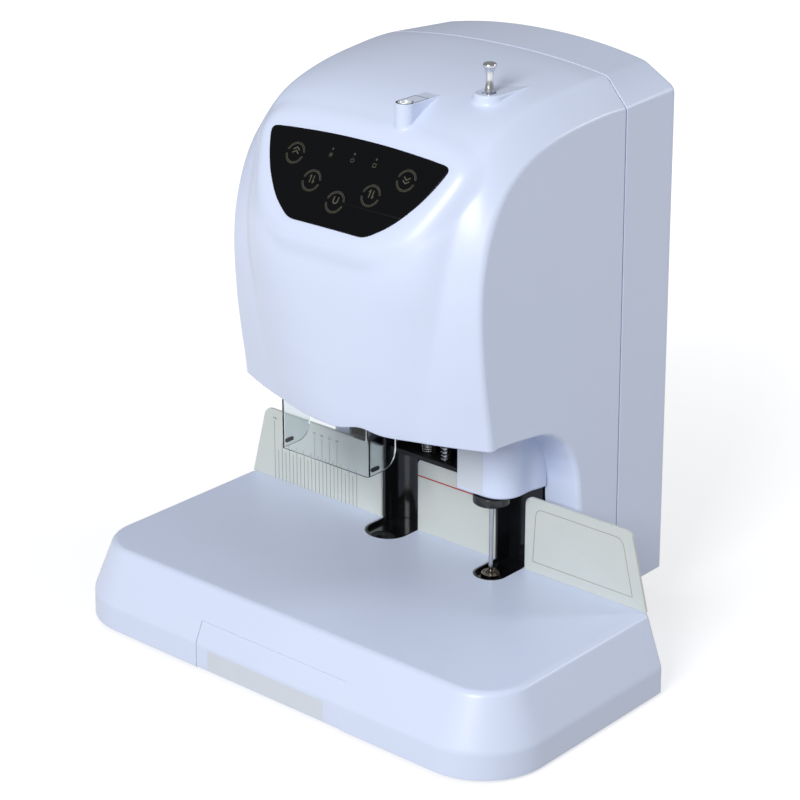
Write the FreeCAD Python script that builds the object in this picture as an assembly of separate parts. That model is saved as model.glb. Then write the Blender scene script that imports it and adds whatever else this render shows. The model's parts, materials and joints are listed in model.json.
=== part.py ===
import FreeCAD, Part
import math
import os

# Desk machine that drills a stack of vouchers and closes a heated plastic
# rivet tube through the hole.  All sizes are in millimetres.
#
# The pieces are drawn on axes with X to the right, Y towards the back and Z
# up, from the middle of the base cover's lower front edge.  put() then moves
# every piece so that the frame's origin is under the middle of the whole
# machine, on the surface that its feet stand on.

V = FreeCAD.Vector

# ---------------------------------------------------------------- dimensions
BASE_W = 460.0          # base cover, overall width
BASE_D = 212.0          # base cover, depth
BASE_H = 64.0           # height of the work table above the cover's lower edge
BAND_H = 22.0           # upright band round the foot of the base cover
SLOPE_SIDE = 16.0       # how far the table edge lies in from the side
SLOPE_FRONT = 20.0      # how far the table edge lies in from the front
WALL = 3.0              # moulded wall
FOOT_H = 3.0            # rubber feet below the base cover's lower edge

SEAM_Y = 277.0          # plane where front and rear tower covers meet
TOWER_BACK = 343.0      # back face of the rear cover
TOWER_FOOT = 32.0       # lower edge of the tower covers
HOOD_Z = 205.0          # lower edge of the hood over the table
PROUD_BACK = 2.0        # mains inlet flange behind the rear cover

DRILL = (-41.5, 187.0)  # drill axis
PRESS = (75.0, 187.0)   # rivet press axis
PULL = (74.0, 178.0)    # pull rod axis

PAPER_MAX = 50.0        # thickest stack that fits under the mark
DRILL_STROKE = 93.0
PRESS_STROKE = 60.0
PIN_LIFT = 55.0
DRAWER_TRAVEL = 120.0

PLATE_Y = 209.0         # front face of the backstop plates
PLATE_T = 2.5
PLATE_TOP = 129.0

ORIGIN = V(0.0, -(TOWER_BACK + PROUD_BACK) / 2.0, FOOT_H)

os.makedirs("parts", exist_ok=True)


# ---------------------------------------------------------------- helpers
def put(name, shape):
    s = shape.copy()
    s.translate(ORIGIN)
    s.exportStep("parts/%s.step" % name)


def box(x0, x1, y0, y1, z0, z1):
    return Part.makeBox(x1 - x0, y1 - y0, z1 - z0, V(x0, y0, z0))


def cyl(x, y, z0, z1, r):
    return Part.makeCylinder(r, z1 - z0, V(x, y, z0), V(0, 0, 1))


def cyl_y(x, z, y0, y1, r):
    return Part.makeCylinder(r, y1 - y0, V(x, y0, z), V(0, 1, 0))


def cyl_x(y, z, x0, x1, r):
    return Part.makeCylinder(r, x1 - x0, V(x0, y, z), V(1, 0, 0))


def ring(x, y, z0, z1, ro, ri):
    return cyl(x, y, z0, z1, ro).cut(cyl(x, y, z0 - 1, z1 + 1, ri))


def face(points):
    return Part.Face(Part.makePolygon(points + [points[0]]))


def prism_xy(pts, z0, z1):
    return face([V(x, y, z0) for x, y in pts]).extrude(V(0, 0, z1 - z0))


def prism_yz(pts, x0, x1):
    return face([V(x0, y, z) for y, z in pts]).extrude(V(x1 - x0, 0, 0))


def prism_xz(pts, y0, y1):
    return face([V(x, y0, z) for x, z in pts]).extrude(V(0, y1 - y0, 0))


def fuse(shapes):
    s = shapes[0]
    if len(shapes) > 1:
        s = s.multiFuse(shapes[1:])
    return s.removeSplitter()


def group(shapes):
    return Part.makeCompound(shapes)


def soften(shape, radius, pick):
    """Round the edges that pick() chooses, if the kernel can do it."""
    edges = [e for e in shape.Edges if pick(e)]
    if not edges:
        return shape
    try:
        s = shape.makeFillet(radius, edges)
        if s.isValid() and s.Volume > 0:
            return s
    except Exception:
        pass
    return shape


def lerp(table, t):
    """Piecewise linear value of a table of (t, value) rows."""
    if t <= table[0][0]:
        return table[0][1]
    for (a, va), (b, vb) in zip(table, table[1:]):
        if t <= b:
            return va + (vb - va) * (t - a) / (b - a)
    return table[-1][1]


def rounded(w, y0, y1, rf, rb, z):
    """Plan outline with round front corners rf and back corners rb."""
    h = w / 2.0
    k = math.sqrt(0.5)
    pts = [V(-h + rf, y0, z), V(h - rf, y0, z), V(h, y0 + rf, z), V(h, y1 - rb, z),
           V(h - rb, y1, z), V(-h + rb, y1, z), V(-h, y1 - rb, z), V(-h, y0 + rf, z)]
    mids = {1: V(h - rf + rf * k, y0 + rf - rf * k, z), 3: V(h - rb + rb * k, y1 - rb + rb * k, z),
            5: V(-h + rb - rb * k, y1 - rb + rb * k, z), 7: V(-h + rf - rf * k, y0 + rf - rf * k, z)}
    edges = []
    for i in range(8):
        a, b = pts[i], pts[(i + 1) % 8]
        if i in mids:
            edges.append(Part.Arc(a, mids[i], b).toShape())
        else:
            edges.append(Part.LineSegment(a, b).toShape())
    return Part.Wire(edges)


# ---------------------------------------------------------------- base cover
def base_body(off, z_low, z_high):
    """Solid of the base cover's outer form, moved inward by off."""
    w0, w1 = BASE_W - 2 * off, BASE_W - 1.2 - 2 * off
    wt = BASE_W - 2 * SLOPE_SIDE - 2 * off
    back = BASE_D - off
    lower = Part.makeLoft([rounded(w0, off, back, 58 - off, 4, z_low),
                           rounded(w1, off + 0.6, back, 57.5 - off, 4, BAND_H)], True, True)
    upper = Part.makeLoft([rounded(w1, off + 0.6, back, 57.5 - off, 4, BAND_H),
                           rounded(wt, off + SLOPE_FRONT, back, 38 - off, 4, z_high)], True, True)
    return lower.fuse(upper).removeSplitter()


def slot_plan(cx, cy, r, back, z0, z1, grow=0.0):
    r = r + grow
    return fuse([cyl(cx, cy, z0, z1, r), box(cx - r, cx + r, cy, back, z0, z1)])


outer_base = base_body(0.0, 0.0, BASE_H)


def table_edge(e):
    b = e.BoundBox
    return b.ZMin > BASE_H - 0.1 and not (b.YMin > BASE_D - 5)


def band_edge(e):
    b = e.BoundBox
    return abs(b.ZMin - BAND_H) < 0.1 and abs(b.ZMax - BAND_H) < 0.1 and not (b.YMin > BASE_D - 5)


skin_base = soften(outer_base, 5.0, table_edge)
skin_base = soften(skin_base, 8.0, band_edge)

SLOT_D = (-41.5, 194.5, 19.5)
SLOT_P = (75.5, 186.5, 14.3)
DRW_X0, DRW_X1, DRW_TOP = -76.0, 79.0, 38.5

inner_base = base_body(WALL, -1.0, BASE_H - WALL)
base_cover = skin_base.cut(inner_base)
base_cover = base_cover.cut(slot_plan(*SLOT_D, BASE_D + 5, 40, 80))
base_cover = base_cover.cut(slot_plan(*SLOT_P, BASE_D + 5, 40, 80))
base_cover = base_cover.cut(box(DRW_X0, DRW_X1, -5, 40, -1, DRW_TOP))
base_cover = base_cover.cut(box(-88, 90, BASE_D - 6, BASE_D + 5, -1, BASE_H - WALL))
put("base_cover", base_cover)

# chassis plate under the base, with a tongue that carries the tower
chassis = fuse([box(-205, 205, 22, 208, 3, 5.5), box(-86, 86, 200, 333, 3, 5.5)])
chassis = chassis.cut(box(-207, -150, 8, 50, 0, 8).cut(cyl(-150, 80, 0, 8, 58)))
chassis = chassis.cut(box(150, 207, 8, 50, 0, 8).cut(cyl(150, 80, 0, 8, 58)))
put("chassis_plate", chassis)

# folded plinth between the chassis tongue and the tower floor
plinth = box(-84, 84, 216, 331, 5.5, 32).cut(box(-81.5, 81.5, 218.5, 328.5, 5, 29.5))
plinth = fuse([plinth, box(-126, 126, 230.6, 339, 32, 34), box(-68, 84, 216, 232, 32, 34)])
put("tower_plinth", plinth)

feet = []
for fx, fy in ((-180, 40), (180, 40), (-190, 190), (190, 190), (-66, 318), (66, 318)):
    f = fuse([cyl(fx, fy, -FOOT_H, 3.0, 9.0), ])
    feet.append(soften(f, 0.8, lambda e: e.BoundBox.ZMax < -FOOT_H + 0.1))
put("rubber_feet", group(feet))

# ---------------------------------------------------------------- chip drawer
front_skin = skin_base.common(box(DRW_X0 + 0.5, DRW_X1 - 0.5, -5, 40, 0.6, DRW_TOP - 0.5))
front_skin = front_skin.cut(base_body(WALL - 0.2, -2, BASE_H))
tray = box(-70, 73, 8, 163, 7, 36).cut(box(-68, 71, 14, 161, 9, 40))
tray = tray.cut(box(-80, 80, 0, 16, 30, 40))
rib = box(-70, 73, 2.9, 15, 7, 29.5).cut(outer_base.cut(base_body(WALL - 0.3, -2, BASE_H)))
drawer = fuse([front_skin, tray, rib])
# shallow pocket for the blank card on the drawer front
drawer = drawer.cut(prism_yz([(-2, 1.6), (-2, 18.4), (1.1, 18.4), (0.65, 1.6)], -63, 62))
put("chip_drawer", drawer)
put("drawer_rails", group([box(-75.5, -71.3, 26, 166, 5.5, 30), box(74.3, 78.5, 26, 166, 5.5, 30)]))
put("drawer_card", prism_yz([(0.10, 1.6), (0.56, 18.4), (1.1, 18.4), (0.65, 1.6)], -63, 62))

# ---------------------------------------------------------------- backstop plates
def plate(pts):
    return prism_xz(pts, PLATE_Y, PLATE_Y + PLATE_T)


def round_corner(shape, x, z, r, tol=3.0):
    return soften(shape, r, lambda e: abs(e.BoundBox.XMin - x) < tol and abs(e.BoundBox.XMax - x) < tol
                  and abs(e.BoundBox.ZMin - z) < tol and e.BoundBox.YLength > 1.0 and e.BoundBox.XLength < 0.1
                  and e.BoundBox.ZLength < 0.1)


left_plate = plate([(-213, BASE_H), (-62, BASE_H), (-62, PLATE_TOP), (-196, PLATE_TOP)])
left_plate = round_corner(left_plate, -196, PLATE_TOP, 9)
left_plate = fuse([left_plate, box(-64.2, -62, PLATE_Y, PLATE_Y + 12, BASE_H, PLATE_TOP)])
put("left_backstop", left_plate)
mid_plate = plate([(-21.7, BASE_H), (61, BASE_H), (61, PLATE_TOP), (-21.7, PLATE_TOP)])
mid_plate = round_corner(mid_plate, -21.7, PLATE_TOP, 5)
mid_plate = fuse([mid_plate, box(58.8, 61, PLATE_Y, PLATE_Y + 12, BASE_H, PLATE_TOP)])
put("middle_backstop", mid_plate)
right_plate = plate([(92, BASE_H), (213, BASE_H), (196, PLATE_TOP), (92, PLATE_TOP)])
right_plate = round_corner(right_plate, 92, PLATE_TOP, 7)
right_plate = round_corner(right_plate, 196, PLATE_TOP, 7)
put("right_backstop", right_plate)

# ---------------------------------------------------------------- stations
cx, cy, r = SLOT_D
floor_d = slot_plan(cx, cy, r - 0.3, 211, 57.5, 60).cut(cyl(DRILL[0], DRILL[1], 50, 70, 10.2))
lip_d = slot_plan(cx, cy, r - 0.3, 211, 60, 63.4).cut(slot_plan(cx, cy, r - 1.6, 215, 59, 70))
chan = fuse([box(cx - 19.2, cx + 19.2, 209.3, 213, 57.5, 141.5), cyl(cx, 213, 57.5, 141.5, 19.2)])
chan = chan.cut(fuse([box(cx - 17, cx + 17, 200, 213, 60, 160), cyl(cx, 213, 60, 160, 17)]))
chan = chan.cut(box(cx - 25, cx + 25, 190, 209.3, 40, 160))
put("drill_slot_liner", fuse([floor_d, lip_d, chan]))
put("drill_pad", ring(DRILL[0], DRILL[1], 52, 59.6, 10.0, 4.6))

# chute from the drill pad down and forward into the drawer
w1 = Part.Wire([Part.Circle(V(DRILL[0], DRILL[1], 52), V(0, 0, 1), 9.5).toShape()])
w2 = Part.Wire([Part.Circle(V(DRILL[0], 152, 38.5), V(0, 0, 1), 11).toShape()])
w3 = Part.Wire([Part.Circle(V(DRILL[0], DRILL[1], 52), V(0, 0, 1), 7.5).toShape()])
w4 = Part.Wire([Part.Circle(V(DRILL[0], 152, 38.5), V(0, 0, 1), 9).toShape()])
chute = Part.makeLoft([w1, w2], True, True).cut(Part.makeLoft([w3, w4], True, True))
put("chip_chute", chute)

cx, cy, r = SLOT_P
floor_p = slot_plan(cx, cy, r - 0.3, 211, 57.5, 60).cut(cyl(PRESS[0], PRESS[1], 50, 70, 8.1))
lip_p = slot_plan(cx, cy, r - 0.3, 211, 60, 63.4).cut(slot_plan(cx, cy, r - 1.6, 215, 59, 70))
wall_p = fuse([box(61.4, 89.6, 209.3, 227.6, 57.5, 60), box(61.4, 63.2, 209.3, 227.6, 57.5, 133.5),
               box(61.4, 96.6, 225.6, 227.6, 64.3, 141.5), box(61.4, 89.6, 225.6, 227.6, 57.5, 66),
               box(88.0, 89.6, 209.3, 227.6, 57.5, 62)])
put("press_slot_liner", fuse([floor_p, lip_p, wall_p]))

die = cyl(PRESS[0], PRESS[1], 50, 63.8, 7.8)
die = die.cut(ring(PRESS[0], PRESS[1], 63.0, 66, 6.3, 5.4)).cut(ring(PRESS[0], PRESS[1], 62.4, 66, 4.1, 2.9))
die = die.cut(cyl(PRESS[0], PRESS[1], 60, 66, 2.25))
put("rivet_die", die)
holder = fuse([box(61, 89, 175, 206, 5.5, 12), cyl(PRESS[0], PRESS[1], 12, 50, 12)])
put("die_holder", holder)

# ---------------------------------------------------------------- frame
SX0, SX1 = 104.0, 110.0
side = [(246, 34), (322, 34), (322, 425), (190, 425), (152, 398), (152, 220), (246, 220)]
win = [(262, 60), (306, 60), (306, 100), (262, 100)]
win2 = [(200, 300), (244, 300), (244, 340), (200, 340)]
for name, a, b in (("frame_left_plate", -SX1, -SX0), ("frame_right_plate", SX0, SX1)):
    s = prism_yz(side, a, b).cut(prism_yz(win, a - 1, b + 1)).cut(prism_yz(win2, a - 1, b + 1))
    put(name, s)

# guide rods: x, y, radius
ROD_D1, ROD_D2, SCREW_D = (4.5, 192.5, 4.0), (-62.0, 229.0, 5.0), (-20.0, 222.0)
ROD_P1, ROD_P2, SCREW_P = (27.6, 186.5, 3.0), (86.0, 222.0, 5.0), (75.0, 214.0)
RODS = (ROD_D1, ROD_D2, ROD_P1, ROD_P2)
MOTOR_D = (-80.0, 200.0)

back_plate = box(-104, 104, 240, 246, 34, 400)
back_plate = back_plate.cut(box(-22, 22, 238, 248, 60, 100))
put("frame_back_plate", back_plate)

top = box(-104, 104, 152, 246, 400, 406)
for x, y, r in RODS:
    top = top.cut(cyl(x, y, 390, 410, r))
for x, y in (SCREW_D, SCREW_P):
    top = top.cut(cyl(x, y, 390, 410, 5.6))
top = top.cut(cyl(PULL[0], PULL[1], 390, 410, 3.6))
top = top.cut(box(15, 43, 150, 157, 395, 410))
put("frame_top_plate", top)

low = prism_xy([(-68, 181.5), (82, 181.5), (93, 194), (93, 240), (-68, 240)], 144, 148)
low = low.cut(box(DRILL[0] - 13.5, DRILL[0] + 13.5, 175, DRILL[1], 140, 150))
low = low.cut(cyl(PRESS[0], PRESS[1], 140, 150, 10.2)).cut(cyl(DRILL[0], DRILL[1], 140, 150, 13.5))
for x, y, r in RODS:
    low = low.cut(cyl(x, y, 140, 150, r))
put("lower_guide_plate", low)

put("guide_rods", group([cyl(x, y, 144, 406, r) for x, y, r in RODS]))


def coil(x, y, z0, z1, radius, wire, turns):
    pitch = (z1 - z0 - wire) / turns
    helix = Part.makeHelix(pitch, pitch * turns, radius)
    start = Part.Wire([Part.Circle(V(radius, 0, 0), V(0, 1, 0), wire / 2.0).toShape()])
    s = helix.makePipeShell([start], True, True)
    s.translate(V(x, y, z0 + wire / 2.0))
    return s


put("buffer_springs", group([coil(ROD_D1[0], ROD_D1[1], 148.1, 176, 5.6, 1.2, 14),
                             coil(ROD_P1[0], ROD_P1[1], 148.1, 168, 3.8, 1.1, 6)]))

# ---------------------------------------------------------------- drill head
car = fuse([box(-66, 18, 173, 237, 278, 302), box(-102, -66, 176, 224, 296.5, 302), box(-72, -66, 216, 237, 278, 302)])
for x, y, r in (ROD_D1, ROD_D2):
    car = car.cut(cyl(x, y, 270, 310, r + 0.05))
car = car.cut(cyl(SCREW_D[0], SCREW_D[1], 270, 310, 5.06)).cut(cyl(DRILL[0], DRILL[1], 270, 310, 13.0))
put("drill_carriage", car)
put("spindle_bearings", group([ring(DRILL[0], DRILL[1], 278, 286, 13.0, 8.03), ring(DRILL[0], DRILL[1], 294, 302, 13.0, 8.03)]))
spindle = fuse([cyl(DRILL[0], DRILL[1], 262, 384, 8.0), cyl(DRILL[0], DRILL[1], 238, 262, 12.0),
                cyl(DRILL[0], DRILL[1], 262, 264, 9.5)]).cut(cyl(DRILL[0], DRILL[1], 230, 390, 2.6))
spindle = spindle.cut(cyl(DRILL[0], DRILL[1], 230, 252, 4.0))
put("drill_spindle", spindle)
bit = ring(DRILL[0], DRILL[1], 152, 252, 4.0, 2.6)
bit = bit.cut(Part.makeCone(4.6, 2.6, 5, V(DRILL[0], DRILL[1], 150.8), V(0, 0, 1)).cut(cyl(DRILL[0], DRILL[1], 150, 157, 2.6)).cut(
    Part.makeCone(4.6, 2.6, 5, V(DRILL[0], DRILL[1], 154.2), V(0, 0, 1))))
put("drill_bit", bit if bit.isValid() and len(bit.Solids) == 1 else ring(DRILL[0], DRILL[1], 152, 252, 4.0, 2.6))


def pulley(x, y, z0, z1, r, bore):
    p = fuse([cyl(x, y, z0, z1, r), cyl(x, y, z0, z0 + 1.2, r + 1.6), cyl(x, y, z1 - 1.2, z1, r + 1.6)])
    return p.cut(cyl(x, y, z0 - 1, z1 + 1, bore))


put("spindle_pulley", pulley(DRILL[0], DRILL[1], 366, 380, 14.0, 8.0))
body = cyl(MOTOR_D[0], MOTOR_D[1], 302, 362, 20.0).cut(cyl(MOTOR_D[0], MOTOR_D[1], 340, 364, 3.05))
put("drill_motor", body)
put("motor_shaft", cyl(MOTOR_D[0], MOTOR_D[1], 341, 384, 3.0))
put("motor_pulley", pulley(MOTOR_D[0], MOTOR_D[1], 366, 380, 9.0, 3.0))

# flat belt round both pulleys, standing 0.1 clear of them
dx, dy = MOTOR_D[0] - DRILL[0], MOTOR_D[1] - DRILL[1]
dist = math.hypot(dx, dy)


def belt_plan(r1, r2, z0, z1):
    """Solid between two circles' outer tangents."""
    a = math.atan2(dy, dx)
    b = math.acos((r1 - r2) / dist)
    pts = []
    for s in (1, -1):
        ang = a + s * b
        pts.append(((DRILL[0] + r1 * math.cos(ang), DRILL[1] + r1 * math.sin(ang)),
                    (MOTOR_D[0] + r2 * math.cos(ang), MOTOR_D[1] + r2 * math.sin(ang))))
    quad = [pts[0][0], pts[0][1], pts[1][1], pts[1][0]]
    return fuse([prism_xy(quad, z0, z1), cyl(DRILL[0], DRILL[1], z0, z1, r1), cyl(MOTOR_D[0], MOTOR_D[1], z0, z1, r2)])


belt = belt_plan(15.3, 10.3, 367.6, 378.4).cut(belt_plan(14.1, 9.1, 360, 385))
put("drive_belt", belt)


def feed_screw(x, y, z0):
    return fuse([cyl(x, y, z0, 415, 5.0), cyl(x, y, 392, 398, 7.5)])


put("drill_feed_screw", feed_screw(SCREW_D[0], SCREW_D[1], 176))
put("press_feed_screw", feed_screw(SCREW_P[0], SCREW_P[1], 172))


def gear_motor(x, y):
    b = box(x - 19, x + 19, y - 17, y + 21, 406, 426)
    b = b.fuse(cyl(x, y, 426, 450, 16))
    return b.cut(cyl(x, y, 400, 416, 5.1)).removeSplitter()


put("feed_motors", group([gear_motor(*SCREW_D), gear_motor(*SCREW_P)]))

# ---------------------------------------------------------------- press head
pc = prism_xy([(19, 179), (82, 179), (93.2, 194), (93.2, 230), (19, 230)], 234, 256)
for x, y, r in (ROD_P1, ROD_P2):
    pc = pc.cut(cyl(x, y, 230, 260, r + 0.05))
pc = pc.cut(cyl(SCREW_P[0], SCREW_P[1], 230, 260, 5.06)).cut(cyl(PRESS[0], PRESS[1], 230, 260, 2.6))
put("press_carriage", pc)
put("heater_block", box(62, 84, 181, 205, 210, 234).cut(cyl(PRESS[0], PRESS[1], 205, 240, 2.6)))
hot = cyl(PRESS[0], PRESS[1], 127.5, 210, 7.6).cut(cyl(PRESS[0], PRESS[1], 120, 215, 2.4))
put("hot_die", hot)
sleeve = fuse([cyl(PRESS[0], PRESS[1], 126.2, 133.6, 15.4), cyl(PRESS[0], PRESS[1], 126.2, 210, 9.3)])
sleeve = soften(sleeve, 1.2, lambda e: e.BoundBox.ZMax < 126.3 and e.BoundBox.XLength > 20)
put("insulating_sleeve", sleeve.cut(cyl(PRESS[0], PRESS[1], 124, 215, 7.6)))

pin = fuse([cyl(PRESS[0], PRESS[1], 63.0, 326, 1.8), cyl(PRESS[0], PRESS[1], 318, 320, 3.5)])
put("guide_pin", pin)
link = box(68, 80, 172, 193, 320, 326).cut(cyl(PRESS[0], PRESS[1], 318, 328, 1.8)).cut(cyl(PULL[0], PULL[1], 318, 328, 2.4))
put("pin_lift_link", link)
put("pull_rod", cyl(PULL[0], PULL[1], 320, 463.5, 2.4))
# waisted pull knob
prof = [(0.01, 463.5), (3.9, 463.5), (3.7, 465.4), (3.1, 468.4), (2.7, 471.2), (2.6, 473.8), (2.8, 477.0), (3.3, 480.0),
        (4.1, 482.4), (5.0, 483.6), (5.25, 484.5), (4.9, 485.4), (3.6, 486.0), (0.01, 486.2)]
curve = Part.BSplineCurve()
curve.interpolate([V(PULL[0] + a, PULL[1], z) for a, z in prof[1:-1]])
knob_edges = [Part.LineSegment(V(PULL[0], PULL[1], 463.5), V(PULL[0] + 3.9, PULL[1], 463.5)).toShape(), curve.toShape(),
              Part.LineSegment(V(PULL[0] + 3.6, PULL[1], 486.0), V(PULL[0], PULL[1], 486.2)).toShape(),
              Part.LineSegment(V(PULL[0], PULL[1], 486.2), V(PULL[0], PULL[1], 463.5)).toShape()]
knob = Part.Face(Part.Wire(knob_edges)).revolve(V(PULL[0], PULL[1], 0), V(0, 0, 1), 360)
put("pull_knob", knob)

# moulded housing that hangs below the hood round the press head
hx0, hx1, hy0, hr = 48.5, 97.6, 174.6, 22.0


def housing_plan(o, y1, z0, z1):
    a = V(hx0 + (0 if o == 0 else -5), hy0 + o, z0)
    b = V(hx1 - hr, hy0 + o, z0)
    c = V(hx1 - o, hy0 + hr, z0)
    m = V(hx1 - hr + (hr - o) * math.sqrt(0.5), hy0 + hr - (hr - o) * math.sqrt(0.5), z0)
    d = V(hx1 - o, y1, z0)
    e = V(hx0 + (0 if o == 0 else -5), y1, z0)
    w = Part.Wire([Part.LineSegment(a, b).toShape(), Part.Arc(b, m, c).toShape(), Part.LineSegment(c, d).toShape(),
                   Part.LineSegment(d, e).toShape(), Part.LineSegment(e, a).toShape()])
    return Part.Face(w).extrude(V(0, 0, z1 - z0))


housing = housing_plan(0.0, 224.5, 134, 216).cut(housing_plan(2.5, 230, 136.5, 220))
housing = housing.cut(cyl(PRESS[0], PRESS[1], 130, 140, 10.2)).cut(box(40, 62, 183, 230, 130, 137))
put("press_head_housing", housing)

# ---------------------------------------------------------------- tower covers
# The hood's skin is swept round the line y = SEAM_Y, z = HOOD_Z: angle 0 is
# the lower edge, which faces forward, and angle 90 is the seam plane.
A_EDGE = [(118.5, 206.0), (118, 212.5), (115.5, 230), (110.8, 258), (107.4, 290.5), (105.8, 317.5), (107, 343.5), (113, 368.5),
          (121, 388), (132.5, 405), (150, 418), (169, 427.5), (197, 434.5), (231, 439), (277, 441)]
B_EDGE = [(68, 97, 205), (78, 96.5, 235), (87, 96.2, 265), (94, 96, 297), (100, 97, 334), (103, 101, 365), (105, 108, 385),
          (106.5, 119, 411), (108, 130, 430), (108.5, 148, 444), (108, 185, 455), (107.5, 230, 460.5), (107, 277, 463)]
C_LINE = [(79.5, 205), (76.5, 240), (74.5, 275), (73.2, 310), (72.8, 345), (75, 367), (89.2, 387), (103.4, 407), (112.6, 420),
          (120, 429.5), (132, 440), (148, 448.5), (170, 456), (200, 462), (238, 466.5), (277, 468.5)]


def polar(y, z):
    return math.degrees(math.atan2(z - HOOD_Z, SEAM_Y - y)), math.hypot(z - HOOD_Z, SEAM_Y - y)


T_A = [polar(y, z) for y, z in A_EDGE]
T_B = [polar(y, z) for x, y, z in B_EDGE]
T_BX = [(polar(y, z)[0], x) for x, y, z in B_EDGE]
T_C = [polar(y, z) for y, z in C_LINE]


def half_width(z, y=SEAM_Y):
    """Half width of the tower: wider towards the foot, drafted from the seam forward."""
    return 130.0 + (440.0 - z) / 80.0 - 0.02 * (SEAM_Y - y)


def outline(theta, off=0.0):
    """Half section (x, r) from the side edge A over the crest B to the middle."""
    t = min(max(theta, 0.0), 90.0)
    s = math.sin(math.radians(t))
    ra, rb, xb, rc = lerp(T_A, t), lerp(T_B, t), lerp(T_BX, t), lerp(T_C, t)
    c = math.cos(math.radians(t))
    xa = half_width(HOOD_Z + ra * s, SEAM_Y - ra * c)
    p = 2.2 + 0.8 * min(t / 40.0, 1.0)
    pts = [(xa, ra - 3.0), (xa - 0.5, ra + 0.4)]
    for k in (0.25, 0.5, 0.75):
        pts.append((xa + (xb - xa) * k, ra + (rb - ra) * k + 1.2 * math.sin(math.pi * k)))
    pts.append((xb + 2.0, rb - 1.0))
    for k in (0.93, 0.8, 0.65, 0.5, 0.35, 0.18):
        pts.append((xb * k, rc - (rc - rb) * k ** p))
    pts.append((0.0, rc))
    if off:
        out = []
        n = len(pts)
        for i, (x, r_) in enumerate(pts):
            a = pts[max(i - 1, 0)]
            b = pts[min(i + 1, n - 1)] if i < n - 1 else (-pts[n - 2][0], pts[n - 2][1])
            if i == 0:
                a = (x, r_ - 5.0)
            tx, tr = b[0] - a[0], b[1] - a[1]
            ln = math.hypot(tx, tr)
            out.append((x - off * tr / ln, r_ + off * tx / ln))
        pts = out
        pts[-1] = (0.0, rc - off)
    return pts, s


def place(x, r_, theta):
    t = math.radians(theta)
    return V(x, SEAM_Y - r_ * math.cos(t), HOOD_Z + r_ * math.sin(t))


def section_wire(theta, off, r0):
    pts, s = outline(theta, off)
    right = [place(x, r_, theta) for x, r_ in pts]
    left = [place(-x, r_, theta) for x, r_ in reversed(pts[:-1])]
    foot_x = half_width(HOOD_Z + r0 * s, SEAM_Y - r0 * math.cos(math.radians(theta))) - off
    f1, f2 = place(foot_x, r0, theta), place(-foot_x, r0, theta)
    c = Part.BSplineCurve()
    c.interpolate(right + left)
    return Part.Wire([Part.LineSegment(f1, right[0]).toShape(), c.toShape(),
                      Part.LineSegment(left[-1], f2).toShape(), Part.LineSegment(f2, f1).toShape()])


THETAS = [0, 7, 15, 24, 33, 40, 46, 51, 56, 61, 65, 69, 74, 80, 85, 90]
hood_outer = Part.makeLoft([section_wire(t, 0.0, 30.0) for t in THETAS], True, False)
hood_inner = Part.makeLoft([section_wire(t, WALL, 22.0) for t in [-3] + THETAS[1:-1] + [93]], True, False)
hood = hood_outer.cut(hood_inner)

ARCH = [(121, 206.0), (138, 205.5), (152, 204.4), (164, 203), (177, 201.2), (187, 198), (197, 192.5), (209, 182.5), (219, 167), (225, 149),
        (227, 120), (227, TOWER_FOOT)]
cheek_pts = ARCH + [(SEAM_Y, TOWER_FOOT), (SEAM_Y, 300), (200, 300), (140, 240), (121, 212)]
cheeks = []
for s in (1, -1):
    f = face([V(s * half_width(z, y), y, z) for y, z in cheek_pts])
    cheeks.append(f.extrude(V(-s * WALL, 0, 0)))


def offset_arch(d):
    out = []
    pts = ARCH[4:]
    for i, (y, z) in enumerate(pts):
        a, b = pts[max(i - 1, 0)], pts[min(i + 1, len(pts) - 1)]
        ty, tz = b[0] - a[0], b[1] - a[1]
        ln = math.hypot(ty, tz)
        out.append((y - d * tz / ln, z + d * ty / ln))
    return out


band = ARCH[4:] + list(reversed(offset_arch(WALL)))
ret_r = prism_yz(band, 98.2, 130.4).fuse(box(96.9, 99, 227.0, 230.0, TOWER_FOOT, 150))
ret_l = prism_yz(band, -130.4, -68.5)

PO = V(0, 75.0, 367.0)
PU = V(1, 0, 0)
PV = V(0, 0.5789, 0.8154)
PN = V(0, -0.8154, 0.5789)
PANEL = [(0, 0.0), (20, 0.0), (34, 0.0), (38.5, 0.8), (43, 2.9), (48, 6.2), (54, 10.6), (59.6, 15.6), (65.2, 21.7), (70, 27.7),
         (74.6, 34.0), (79, 41.2), (82.6, 47.9), (86, 55.3), (88.4, 61.6), (88.9, 65.0), (87.4, 67.5), (84, 68.8), (77, 69.5), (70, 70.2),
         (58, 71.0), (44, 71.9), (30, 72.5), (15, 72.9)]


def panel_solid(grow, n0, n1):
    pts = []
    half = PANEL
    full = half + [(-u, v) for u, v in reversed(half) if u > 0]
    m = len(full)
    for i in range(m):
        a, b = full[i - 1], full[(i + 1) % m]
        tx, ty = b[0] - a[0], b[1] - a[1]
        ln = math.hypot(tx, ty)
        u, v = full[i][0] + grow * ty / ln, full[i][1] - grow * tx / ln
        pts.append(PO + PU * u + PV * v + PN * n0)
    c = Part.BSplineCurve()
    c.interpolate(Points=pts, PeriodicFlag=True)
    return Part.Face(Part.Wire([c.toShape()])).extrude(PN * (n1 - n0))


bed = panel_solid(4.0, -4.5, 0.0)
boss_pull = cyl(PULL[0], PULL[1], 446, 463, 12.0)
TUBE = (29.0, 134.0)            # rivet tube inlet
TUBE_TOP = 456.6
boss_in = fuse([cyl(TUBE[0], TUBE[1], 420, TUBE_TOP, 7.7), box(TUBE[0] - 7.7, TUBE[0] + 7.7, TUBE[1], 154.5, 420, TUBE_TOP)])

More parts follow.
